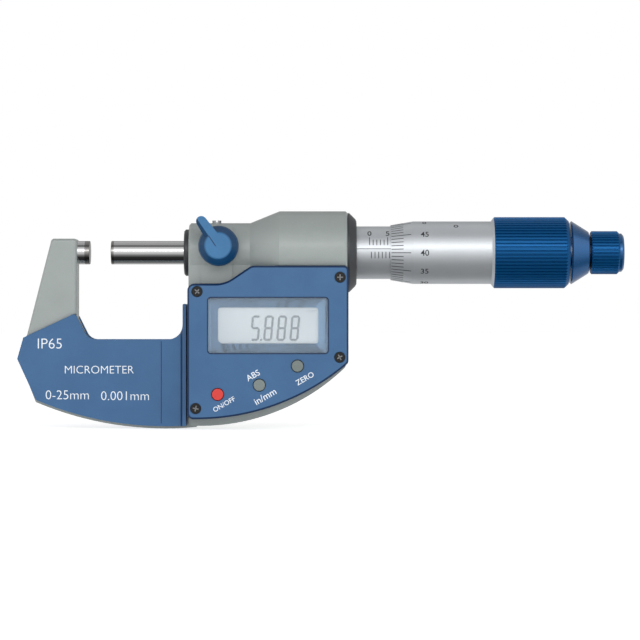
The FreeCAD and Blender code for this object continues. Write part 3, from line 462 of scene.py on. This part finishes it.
GREY_CAP = MouldedPlastic(srgb(122, 132, 129), srgb(110, 120, 117),
                          roughness=0.34, grain=8.0, relief=0.01, coat=0.3)
WHITE_INK = Ink(srgb(244, 247, 250), srgb(226, 233, 240))
BLACK_FILL = Ink(srgb(56, 58, 62), srgb(36, 38, 42), roughness=0.6)
SEGMENT_INK = Ink(srgb(134, 141, 144), srgb(122, 130, 134), roughness=0.6)
NOTE_INK = Ink(srgb(168, 177, 181), srgb(160, 169, 173), roughness=0.6)
# Dark ink: the joint round the window, and painted shade along the plate's fold and the lever's ridge.
JOINT_AND_SHADE_INK = Ink(srgb(16, 50, 88), srgb(12, 42, 76), roughness=0.5)
# Light grey painted highlight in the screws' cross recesses.
CROSS_GLINT = Ink(srgb(188, 190, 192), srgb(150, 152, 154), roughness=0.3)


# ------------------------------------------------------------------ pieces

def dress(finish: Finish, *nodes: str) -> None:
    """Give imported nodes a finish.

    Args:
        finish: the finish.
        nodes: the nodes' names.
    """
    for name in nodes:
        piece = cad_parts[name]
        piece.data.materials.clear()
        piece.data.materials.append(finish.material())
        log.info("dressed %s", name)


def finish_piece(name: str, mesh: bmesh.types.BMesh, finish: Finish, body: str) -> bpy.types.Object:
    """Turn a bmesh into a named piece that rides on a body.

    Args:
        name: the piece's name.
        mesh: the shape, in metres, in place.
        finish: its finish.
        body: the body that it rides on.

    Returns:
        The new object.
    """
    bmesh.ops.remove_doubles(mesh, verts=mesh.verts, dist=WELD)
    bmesh.ops.recalc_face_normals(mesh, faces=mesh.faces)
    data = bpy.data.meshes.new(name)
    mesh.to_mesh(data)
    mesh.free()
    piece = bpy.data.objects.new(name, data)
    bpy.context.scene.collection.objects.link(piece)
    data.materials.append(finish.material())
    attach(piece, body)
    log.info("made %s: %d faces", name, len(data.polygons))
    return piece


def add_text(mesh: bmesh.types.BMesh, words: str, depth: float, width: float = 0.0,
             height: float = 0.0, weight: float = -0.008) -> list[bmesh.types.BMVert]:
    """Add flat lettering, centred on the origin, to a bmesh.

    Args:
        mesh: the bmesh that takes the letters, in the XY plane.
        words: the text.
        depth: its thickness.
        width: its whole width, or 0 to size it by height.
        height: the height of its tallest letter.
        weight: how far the strokes are thickened, in letter heights.

    Returns:
        The new vertices.
    """
    curve = bpy.data.curves.new("lettering", "FONT")
    curve.body = words
    curve.extrude = LETTER_EXTRUDE
    curve.offset = weight
    curve.resolution_u = LETTER_STEPS
    holder = bpy.data.objects.new("lettering", curve)
    bpy.context.scene.collection.objects.link(holder)
    bpy.context.view_layer.update()
    drawn = holder.evaluated_get(bpy.context.evaluated_depsgraph_get())
    flat = bpy.data.meshes.new_from_object(drawn)
    before = set(mesh.verts)
    mesh.from_mesh(flat)
    bpy.data.objects.remove(holder)
    bpy.data.curves.remove(curve)
    bpy.data.meshes.remove(flat)
    made = [v for v in mesh.verts if v not in before]
    low = Vector([min(v.co[i] for v in made) for i in range(3)])
    high = Vector([max(v.co[i] for v in made) for i in range(3)])
    size = width / (high.x - low.x) if width else height / (high.y - low.y)
    bmesh.ops.translate(mesh, verts=made, vec=-(low + high) / 2)
    bmesh.ops.scale(mesh, verts=made, vec=(size, size, depth / (high.z - low.z)))
    return made


def add_bar(mesh: bmesh.types.BMesh, length: float, width: float, depth: float,
            place: tuple[float, float] = (0, 0)) -> list[bmesh.types.BMVert]:
    """Add a flat bar in the XY plane.

    Args:
        mesh: the bmesh that takes it.
        length: its size along X.
        width: its size along Y.
        depth: its thickness.
        place: its centre.

    Returns:
        The new vertices.
    """
    made = bmesh.ops.create_cube(mesh, size=1.0)["verts"]
    bmesh.ops.scale(mesh, verts=made, vec=(length, width, depth))
    bmesh.ops.translate(mesh, verts=made, vec=(place[0], place[1], 0))
    return made


def stand(mesh: bmesh.types.BMesh, verts: list[bmesh.types.BMVert], x: float, y: float, z: float,
          turn: float = 0.0) -> None:
    """Put a flat shape upright, so that it reads from the front.

    Args:
        mesh: the bmesh.
        verts: the shape, drawn in the XY plane about the origin.
        x: where its centre goes.
        y: the surface that it lies on.
        z: where its centre goes.
        turn: its turn against the clock, in radians.
    """
    spot = Matrix.Translation((x, y, z)) @ FRONT_VIEW @ Matrix.Rotation(turn, 4, "Z")
    bmesh.ops.transform(mesh, matrix=spot, verts=verts)


def upright_corners(mesh: bmesh.types.BMesh, depth: float) -> list[bmesh.types.BMEdge]:
    """Edges that run through the thickness of a flat bar."""
    return [e for e in mesh.edges if abs(e.verts[0].co.z - e.verts[1].co.z) > depth / 2]


def join(mesh: bmesh.types.BMesh, extra: bmesh.types.BMesh) -> None:
    """Move one bmesh into another.

    Args:
        mesh: the bmesh that grows.
        extra: the bmesh that is used up.
    """
    data = bpy.data.meshes.new("joined")
    extra.to_mesh(data)
    extra.free()
    mesh.from_mesh(data)
    bpy.data.meshes.remove(data)


def slice_across(mesh: bmesh.types.BMesh, reach: float, step: float) -> None:
    """Cut a flat shape along Y at even steps, so that it can follow a round surface.

    Args:
        mesh: the shape.
        reach: how far it goes each way from the origin.
        step: the distance between the cuts.
    """
    count = max(1, int(2 * reach / step))
    for i in range(1, count):
        everything = mesh.verts[:] + mesh.edges[:] + mesh.faces[:]
        place = (0, -reach + 2 * reach * i / count, 0)
        bmesh.ops.bisect_plane(mesh, geom=everything, plane_co=place, plane_no=(0, 1, 0))


def wrap(mesh: bmesh.types.BMesh, x: float, angle: float, radius: Callable[[float], float]) -> None:
    """Lay a flat shape round the spindle axis.

    Args:
        mesh: the shape: X along the axis, Y round it, Z outwards.
        x: where its centre goes along the axis.
        angle: where it goes round the axis, in radians above the front.
        radius: the surface's radius at a place along the axis.
    """
    for v in mesh.verts:
        along = x + v.co.x
        r = radius(along)
        turn = angle + v.co.y / r
        out = r + v.co.z
        v.co = Vector((along, -out * math.cos(turn), out * math.sin(turn)))


@dataclass(frozen=True)
class Label:
    """One printed line on a flat face, in millimetres and degrees."""

    words: str
    x: float
    z: float
    width: float
    turn: float = 0.0
    weight: float = -0.012


def print_labels(name: str, labels: tuple[Label, ...], face: float) -> None:
    """Print lines of text on a face that looks towards -Y.

    Args:
        name: the piece's name.
        labels: the lines.
        face: y of the surface.
    """
    mesh = bmesh.new()
    for label in labels:
        made = add_text(mesh, label.words, PRINT_THICK, width=label.width * MM, weight=label.weight)
        stand(mesh, made, label.x * MM, face, label.z * MM, math.radians(label.turn))
    finish_piece(name, mesh, WHITE_INK, "frame")


# ------------------------------------------------------------------ sub-assemblies

@dataclass
class Casting:
    """The grey frame, the measuring faces and what is fixed in it."""

    def build(self) -> None:
        """Dress the casting and the pieces held in it."""
        dress(ENAMEL, "frame")
        dress(GROUND_STEEL, "anvil")
        dress(HARD_METAL, "anvil_tip")
        dress(BLACK_RING, "spindle_seal_collar", "end_ring")
        dress(PLAIN_STEEL, "bushing_set_screw", "spindle_bushing", "rotor_retainer", "inner_sleeve",
              "adjusting_nut")
        dress(RUBBER, "spindle_o_ring")
        dress(LAMINATE, "encoder_stator")


@dataclass
class Plates:
    """The two insulating plates and the print on the front one."""

    face: float = -5.2 * MM
    # Width of the dark line of painted shade along the fold; where the fold lies follows.
    seam: float = 0.22 * MM
    fold_x: float = 20.0 * MM
    fold_z: tuple[float, float] = (-47.2 * MM, -24.6 * MM)
    labels: tuple[Label, ...] = (
        Label("IP65", -10.77, -25.2, 6.6),
        Label("MICROMETER", 2.9, -32.4, 19.0),
        Label("0-25mm", -5.95, -39.35, 11.9),
        Label("0.001mm", 9.98, -39.6, 13.2),
    )

    def build(self) -> None:
        """Dress the plates, print the labels and paint a dark line of shade along the fold."""
        dress(BLUE_BODY, "front_insulating_plate", "rear_insulating_plate")
        print_labels("plate_print", self.labels, self.face)
        low, high = self.fold_z
        # A thin dark bar of painted shade along the plate's fold.
        mesh = bmesh.new()
        made = add_bar(mesh, self.seam, high - low, PRINT_THICK)
        stand(mesh, made, self.fold_x, self.face, (low + high) / 2)
        finish_piece("fold_shade_line", mesh, JOINT_AND_SHADE_INK, "frame")


class Segment(Enum):
    """Bars of a seven-segment digit: place in halves of the digit, and whether it lies flat."""

    TOP = (0, 1, True)
    MIDDLE = (0, 0, True)
    BOTTOM = (0, -1, True)
    UPPER_LEFT = (-1, 0.5, False)
    UPPER_RIGHT = (1, 0.5, False)
    LOWER_LEFT = (-1, -0.5, False)
    LOWER_RIGHT = (1, -0.5, False)


@dataclass
class Display:
    """Cover, window, liquid crystal panel with its reading, buttons and screws."""

    shown: str = "5888"
    digit_height: float = 7.0 * MM
    digit_width: float = 2.5 * MM
    digit_pitch: float = 3.6 * MM
    last_digit_x: float = 56.9 * MM
    digits_z: float = -20.95 * MM
    point_place: float = 2.5
    slant: float = math.radians(5)
    bar: float = 0.62 * MM
    gap: float = 0.12 * MM
    bar_corner: float = 0.248 * MM
    blank: dict[str, tuple[Segment, ...]] = field(default_factory=lambda: {
        "5": (Segment.UPPER_RIGHT, Segment.LOWER_LEFT), "8": ()})
    unit_width: float = 2.3 * MM
    unit_spot: tuple[float, float] = (61.2 * MM, -16.3 * MM)
    segment_thick: float = 0.04 * MM
    rim_width: float = 0.32 * MM
    rim_corner: float = 1.1 * MM
    rim_steps: int = 8
    # The painted highlights in the screws' cross recesses: how deep their floor lies, and each arm's
    # length and width.
    recess_depth: float = 0.3 * MM
    cross: tuple[float, float] = (1.6 * MM, 0.3 * MM)
    screws: tuple[tuple[float, float, float], ...] = (
        (30.17, -10.91, 40), (29.78, -42.93, 12), (69.3, -7.0, 0), (69.19, -28.9, 62))
    labels: tuple[Label, ...] = (
        Label("ON/OFF", 37.55, -41.75, 6.6, 30, 0.004),
        Label("ABS", 45.45, -33.85, 3.9, 30, 0.004),
        Label("in/mm", 48.8, -39.6, 6.4, 30, 0.004),
        Label("ZERO", 59.65, -34.7, 5.3, 30, 0.004),
    )

    def build(self) -> None:
        """Dress the nodes, then add the reading and the print."""
        dress(BLUE_BODY, "display_cover")
        dress(ClearWindow(), "display_window")
        dress(WINDOW_BORDER, "window_mask")
        dress(LiquidCrystal(), "lcd_panel")
        dress(BLACK_OXIDE, "cover_screws")
        dress(RED_CAP, "power_button")
        dress(GREY_CAP, "unit_button", "zero_button")
        dress(RUBBER, "contact_strips", "keypad", "cover_gasket")
        dress(LAMINATE, "circuit_board")
        dress(PLAIN_STEEL, "dome_switches")
        self.reading(self.shown)
        self.unit()
        self.rim()
        self.crosses()
        print_labels("button_print", self.labels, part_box("display_cover")[0].y)

    def reading(self, digits: str) -> None:
        """Draw the digits and the decimal point on the panel.

        Args:
            digits: what it shows, without the point.
        """
        mesh = bmesh.new()
        half_wide = (self.digit_width - self.bar) / 2
        half_high = (self.digit_height - self.bar) / 2
        for i, digit in enumerate(digits):
            centre = self.last_digit_x - (len(digits) - 1 - i) * self.digit_pitch
            for segment in Segment:
                if segment in self.blank[digit]:
                    continue
                right, up, flat = segment.value
                place = (right * half_wide, up * half_high)
                length = 2 * half_wide if flat else half_high
                self.segment(mesh, length - self.gap, flat, place, centre)
        point = self.last_digit_x - self.point_place * self.digit_pitch
        self.segment(mesh, self.bar, True, (0, -half_high), point)
        finish_piece("reading_segments", mesh, SEGMENT_INK, "frame")

    def unit(self) -> None:
        """Draw the unit beside the digits."""
        x, z = self.unit_spot
        mesh = bmesh.new()
        made = add_text(mesh, "mm", self.segment_thick, width=self.unit_width)
        stand(mesh, made, x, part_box("lcd_panel")[0].y, z)
        finish_piece("reading_unit", mesh, NOTE_INK, "frame")

    def segment(self, mesh: bmesh.types.BMesh, length: float, flat: bool, place: tuple[float, float],
                centre: float) -> None:
        """Add one bar of a digit, leaning with the digit.

        Args:
            mesh: takes the bar.
            length: the bar's length.
            flat: whether it lies level.
            place: its centre within the digit.
            centre: x of the digit's centre.
        """
        bar = bmesh.new()
        add_bar(bar, length if flat else self.bar, self.bar if flat else length, self.segment_thick)
        corners = upright_corners(bar, self.segment_thick)
        bmesh.ops.bevel(bar, geom=corners, offset=self.bar_corner, segments=1, profile=0.5, affect="EDGES",
                        material=-1)
        bmesh.ops.translate(bar, verts=bar.verts, vec=(place[0], place[1], 0))
        for v in bar.verts:
            v.co.x += v.co.y * math.tan(self.slant)
        stand(bar, bar.verts[:], centre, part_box("lcd_panel")[0].y, self.digits_z)
        join(mesh, bar)

    def rim(self) -> None:
        """Draw the dark joint line round the window."""
        low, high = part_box("display_window")
        centre = (low + high) / 2
        size = high - low
        mesh = bmesh.new()
        add_bar(mesh, size.x + self.rim_width, size.z + self.rim_width, self.segment_thick)
        corners = upright_corners(mesh, self.segment_thick)
        bmesh.ops.bevel(mesh, geom=corners, offset=self.rim_corner, segments=self.rim_steps, profile=0.5,
                        affect="EDGES", material=-1)
        caps = [f for f in mesh.faces if abs(f.normal.z) > 0.9]
        bmesh.ops.inset_individual(mesh, faces=caps, thickness=self.rim_width, use_even_offset=True)
        loops = [e for f in caps for e in f.edges]
        bmesh.ops.delete(mesh, geom=caps, context="FACES_ONLY")
        bmesh.ops.bridge_loops(mesh, edges=loops)
        stand(mesh, mesh.verts[:], centre.x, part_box("display_cover")[0].y, centre.z)
        finish_piece("window_rim", mesh, JOINT_AND_SHADE_INK, "frame")

    def crosses(self) -> None:
        """Paint highlights in the four cross recesses, as light bars on their floors."""
        mesh = bmesh.new()
        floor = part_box("cover_screws")[0].y + self.recess_depth
        for x, z, turn in self.screws:
            for quarter in (0, 90):
                made = add_bar(mesh, *self.cross, self.segment_thick)
                stand(mesh, made, x * MM, floor, z * MM, math.radians(quarter - turn))
        finish_piece("screw_cross_glints", mesh, CROSS_GLINT, "frame")


@dataclass
class Scale:
    """Engraved lines and numbers on the sleeve and the thimble, with angles in degrees above the front."""

    line: float = 0.2 * MM
    raised: float = 0.012 * MM
    every: int = 5
    zero: float = 77.45 * MM
    last: int = 25
    half_pitch: float = 0.5 * MM
    whole_arc: tuple[float, float] = (15.3, 28.0)
    numbered_arc: tuple[float, float] = (15.3, 33.8)
    half_arc: tuple[float, float] = (-13.5, 0.4)
    sleeve_number: tuple[float, float] = (45.3, 1.8 * MM)
    index_angle: float = 7.1
    index_line: float = 0.17 * MM
    index_gap: float = 0.2 * MM
    arc_step: float = 0.5 * MM
    number_step: float = 0.3 * MM
    number_weight: float = 0.012
    divisions: int = 50
    thimble_zero: float = -1.5 - 40 * 7.2
    bevel: float = 6.26 * MM
    bevel_radii: tuple[float, float] = (7.6 * MM, 8.68 * MM)
    mark_gap: float = 0.15 * MM
    mark: float = 3.3 * MM
    numbered_mark: float = 5.4 * MM
    thimble_number: tuple[float, float] = (9.3 * MM, 1.7 * MM)
    ring_place: float = 18.0 * MM
    ring_angle: float = 56
    ring_height: float = 1.3 * MM

    def build(self) -> None:
        """Engrave both scales."""
        self.sleeve()
        self.thimble()

    def sleeve(self) -> None:
        """Millimetre and half millimetre marks, the numbers and the index line."""
        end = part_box("outer_sleeve")[1]
        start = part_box("end_ring")[1].x
        radius = end.z
        angle, height = self.sleeve_number
        mesh = bmesh.new()
        for i in range(self.last + 1):
            x = self.zero + i * MM
            numbered = i % self.every == 0
            self.arc(mesh, x, self.numbered_arc if numbered else self.whole_arc, radius)
            if i < self.last:
                self.arc(mesh, x + self.half_pitch, self.half_arc, radius)
            if numbered:
                self.number(mesh, str(i), x, math.radians(angle), height, lambda _: radius)
        length = end.x - start - self.index_gap
        flat = bmesh.new()
        add_bar(flat, length, self.index_line, 2 * self.raised)
        wrap(flat, start + length / 2, math.radians(self.index_angle), lambda _: radius)
        join(mesh, flat)
        finish_piece("sleeve_scale", mesh, BLACK_FILL, "frame")

    def arc(self, mesh: bmesh.types.BMesh, x: float, angles: tuple[float, float], radius: float) -> None:
        """Add one mark round the sleeve.

        Args:
            mesh: takes the mark.
            x: its place along the axis.
            angles: where it starts and ends.
            radius: the sleeve's radius.
        """
        start, end = angles
        reach = math.radians(end - start) * radius
        flat = bmesh.new()
        add_bar(flat, self.line, reach, 2 * self.raised)
        slice_across(flat, reach / 2, self.arc_step)
        wrap(flat, x, math.radians((start + end) / 2), lambda _: radius)
        join(mesh, flat)

    def thimble(self) -> None:
        """Fifty lines on the bevel with a number at every fifth, and a small ring."""
        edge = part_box("thimble")[0].x
        nose, full = self.bevel_radii
        number_x, number_height = self.thimble_number

        def radius(x: float) -> float:
            """Radius of the thimble's outside."""
            return nose + (full - nose) * min(1.0, (x - edge) / self.bevel)

        mesh = bmesh.new()
        for i in range(self.divisions):
            angle = math.radians(self.thimble_zero + i * 360 / self.divisions)
            numbered = i % self.every == 0
            length = self.numbered_mark if numbered else self.mark
            flat = bmesh.new()
            add_bar(flat, length, self.line, 2 * self.raised)
            wrap(flat, edge + self.mark_gap + length / 2, angle, radius)
            join(mesh, flat)
            if numbered:
                self.number(mesh, str(i), edge + number_x, angle, number_height, radius)
        ring_x = edge + self.ring_place
        self.number(mesh, "o", ring_x, math.radians(self.ring_angle), self.ring_height, radius)
        finish_piece("thimble_scale", mesh, BLACK_FILL, "spindle")

    def number(self, mesh: bmesh.types.BMesh, words: str, x: float, angle: float, height: float,
               radius: Callable[[float], float]) -> None:
        """Add one engraved number, upright when it faces the front.

        Args:
            mesh: takes the number.
            words: its digits.
            x: its centre along the axis.
            angle: its place round the axis, in radians.
            height: its tallest digit.
            radius: the surface's radius at a place along the axis.
        """
        flat = bmesh.new()
        add_text(flat, words, 2 * self.raised, height=height, weight=self.number_weight)
        slice_across(flat, height / 2, self.number_step)
        wrap(flat, x, angle, radius)
        join(mesh, flat)


@dataclass
class SpindleGroup:
    """Spindle, thimble, grip and ratchet."""

    def build(self) -> None:
        """Dress the turned pieces."""
        dress(GROUND_STEEL, "spindle")
        dress(HARD_METAL, "spindle_tip")
        dress(SATIN_CHROME, "outer_sleeve", "thimble")
        dress(BLUE_GRIP, "thimble_grip", "ratchet_knob")
        dress(BLUE_GLOSS, "thimble_cone", "ratchet_cap")
        dress(PLAIN_STEEL, "ratchet_screw", "ratchet_spring", "rotor_key")
        dress(BLACK_OXIDE, "ratchet_base", "ratchet_disc")
        dress(LAMINATE, "encoder_rotor")
        dress(BRASS, "rotor_bush")


@dataclass
class Lock:
    """Lock knob with its lever, screw and shoe."""

    lever_angle: float = math.radians(90 + 34.6)
    # The dark bar of painted shade on the side of the lever's ridge: its length and width, its start along
    # the lever and its offset from the lever's axis.
    crease: tuple[float, float] = (3.4 * MM, 0.22 * MM)
    crease_start: float = 0.2 * MM
    crest: float = 0.6 * MM

    def build(self) -> None:
        """Dress the lock and paint the shade on the side of the lever's ridge as a dark bar on the knob.
        """
        dress(BLUE_KNOB, "lock_knob")
        dress(PLAIN_STEEL, "lock_screw")
        dress(BRASS, "lock_shoe")
        low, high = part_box("lock_screw")
        centre = (low + high) / 2
        length, width = self.crease
        # A dark bar of painted shade along the lever's ridge.
        mesh = bmesh.new()
        made = add_bar(mesh, length, width, PRINT_THICK, (self.crease_start + length / 2, self.crest))
        stand(mesh, made, centre.x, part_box("lock_knob")[0].y, centre.z, self.lever_angle)
        finish_piece("lever_ridge_shade", mesh, JOINT_AND_SHADE_INK, "lock_lever")


@dataclass
class Battery:
    """Cell, contacts and screw cap."""

    def build(self) -> None:
        """Dress the battery and its cap."""
        dress(PLAIN_STEEL, "battery_cell")
        dress(BRASS, "battery_contacts")
        dress(RUBBER, "battery_cap_o_ring")
        dress(BLACK_RING, "battery_cap")


@dataclass(frozen=True)
class SoftLight:
    """A rectangular soft light that hangs at a place from the aim, in metres and watts."""

    name: str
    place: tuple[float, float, float]
    size: tuple[float, float]
    power: float

    def build(self, aim: Vector) -> None:
        """Hang the light.

        Args:
            aim: the point that it looks at.
        """
        data = bpy.data.lights.new(self.name, "AREA")
        data.shape = "RECTANGLE"
        data.size, data.size_y = self.size
        data.energy = self.power
        lamp = bpy.data.objects.new(self.name, data)
        bpy.context.scene.collection.objects.link(lamp)
        lamp.location = aim + Vector(self.place)
        lamp.rotation_euler = (-Vector(self.place)).to_track_quat("-Z", "Y").to_euler()


@dataclass
class Studio:
    """Pale floor, soft light and the camera."""

    aim: Vector = field(default_factory=lambda: Vector((63.8, 0.0, -18.7)) * MM)
    distance: float = 0.8
    seen_width: float = 177.78 * MM
    sensor: float = 36.0
    clip_start: float = 0.01
    floor_reach: float = 6.0
    floor_sides: int = 96
    floor_tone: float = 0.9
    floor_glow: float = 0.6
    turnover: tuple[float, float] = (-0.08, 0.12)
    front_light: tuple[tuple[float, float], ...] = (
        (0.0, 0.02), (0.14, 0.03), (0.29, 0.24), (0.42, 0.62), (0.55, 0.86), (0.65, 0.95),
        (0.80, 0.92), (0.88, 0.66), (0.94, 0.16), (1.0, 0.10))
    rear_light: tuple[tuple[float, float], ...] = (
        (0.0, 0.02), (0.05, 0.20), (0.12, 0.45), (0.5, 0.52), (0.9, 0.30), (1.0, 0.14))
    lights: tuple[SoftLight, ...] = (
        SoftLight("key", (0.02, -0.62, 0.26), (0.9, 0.16), 0.9),
        SoftLight("top", (0.05, 0.12, 0.75), (1.0, 0.7), 0.6),
    )

    def build(self) -> None:
        """Floor, world, lights and camera."""
        self.floor()
        self.world()
        for light in self.lights:
            light.build(self.aim)
        self.camera()
        scene = bpy.context.scene
        scene.view_settings.view_transform = "Standard"
        scene.view_settings.look = "None"

    def floor(self) -> None:
        """A large pale disc that the object stands on."""
        mesh = bmesh.new()
        bmesh.ops.create_circle(mesh, cap_ends=True, segments=self.floor_sides, radius=self.floor_reach)
        bmesh.ops.translate(mesh, verts=mesh.verts, vec=(0, 0, CAD_BOX[0].z))
        data = bpy.data.meshes.new("floor")
        mesh.to_mesh(data)
        mesh.free()
        piece = bpy.data.objects.new("floor", data)
        bpy.context.scene.collection.objects.link(piece)
        shader = Shader("floor")
        shader.set("Base Color", (self.floor_tone,) * 3)
        shader.set("Roughness", 0.9)
        shader.set("Specular IOR Level", 0.0)
        shader.set("Emission Color", WHITE)
        shader.set("Emission Strength", self.floor_glow)
        data.materials.append(shader.material)
        piece.visible_glossy = False

    def world(self) -> None:
        """White to the camera; to the object, one light by height in front and another behind."""
        world = bpy.data.worlds.new("studio")
        world.use_nodes = True
        bpy.context.scene.world = world
        graph = Graph(world.node_tree)
        where = graph.node("ShaderNodeTexCoord", output="Generated")
        height = graph.ranged(graph.axis(where, "Z"), -1.0, 1.0)
        front = self.ramp(graph, height, self.front_light)
        rear = self.ramp(graph, height, self.rear_light)
        total = graph.mix(graph.ranged(graph.axis(where, "Y"), *self.turnover), front, rear)
        seen = graph.node("ShaderNodeLightPath", output="Is Camera Ray")
        background = world.node_tree.nodes["Background"]
        graph.feed(background.inputs["Color"], graph.mix(seen, total, WHITE))

    def ramp(self, graph: Graph, height: Wire, stops: tuple[tuple[float, float], ...]) -> Wire:
        """Grey light that changes with height."""
        return graph.node("ShaderNodeValToRGB", {"ramp": [(p, (g, g, g)) for p, g in stops]}, {0: height})

    def camera(self) -> None:
        """Level camera, square on to the display."""
        data = bpy.data.cameras.new("camera")
        data.sensor_width = self.sensor
        data.lens = self.sensor * self.distance / self.seen_width
        data.clip_start = self.clip_start
        camera = bpy.data.objects.new("camera", data)
        bpy.context.scene.collection.objects.link(camera)
        camera.location = self.aim - Vector((0, self.distance, 0))
        camera.rotation_euler = (math.radians(90), 0, 0)
        bpy.context.scene.camera = camera


def main() -> None:
    """Build every sub-assembly in order."""
    logging.basicConfig(level=logging.INFO, format="%(name)s: %(message)s")
    for part in (Casting(), Plates(), Display(), Scale(), SpindleGroup(), Lock(), Battery(), Studio()):
        log.info("building %s", type(part).__name__)
        part.build()


if __name__ == "__main__":
    main()
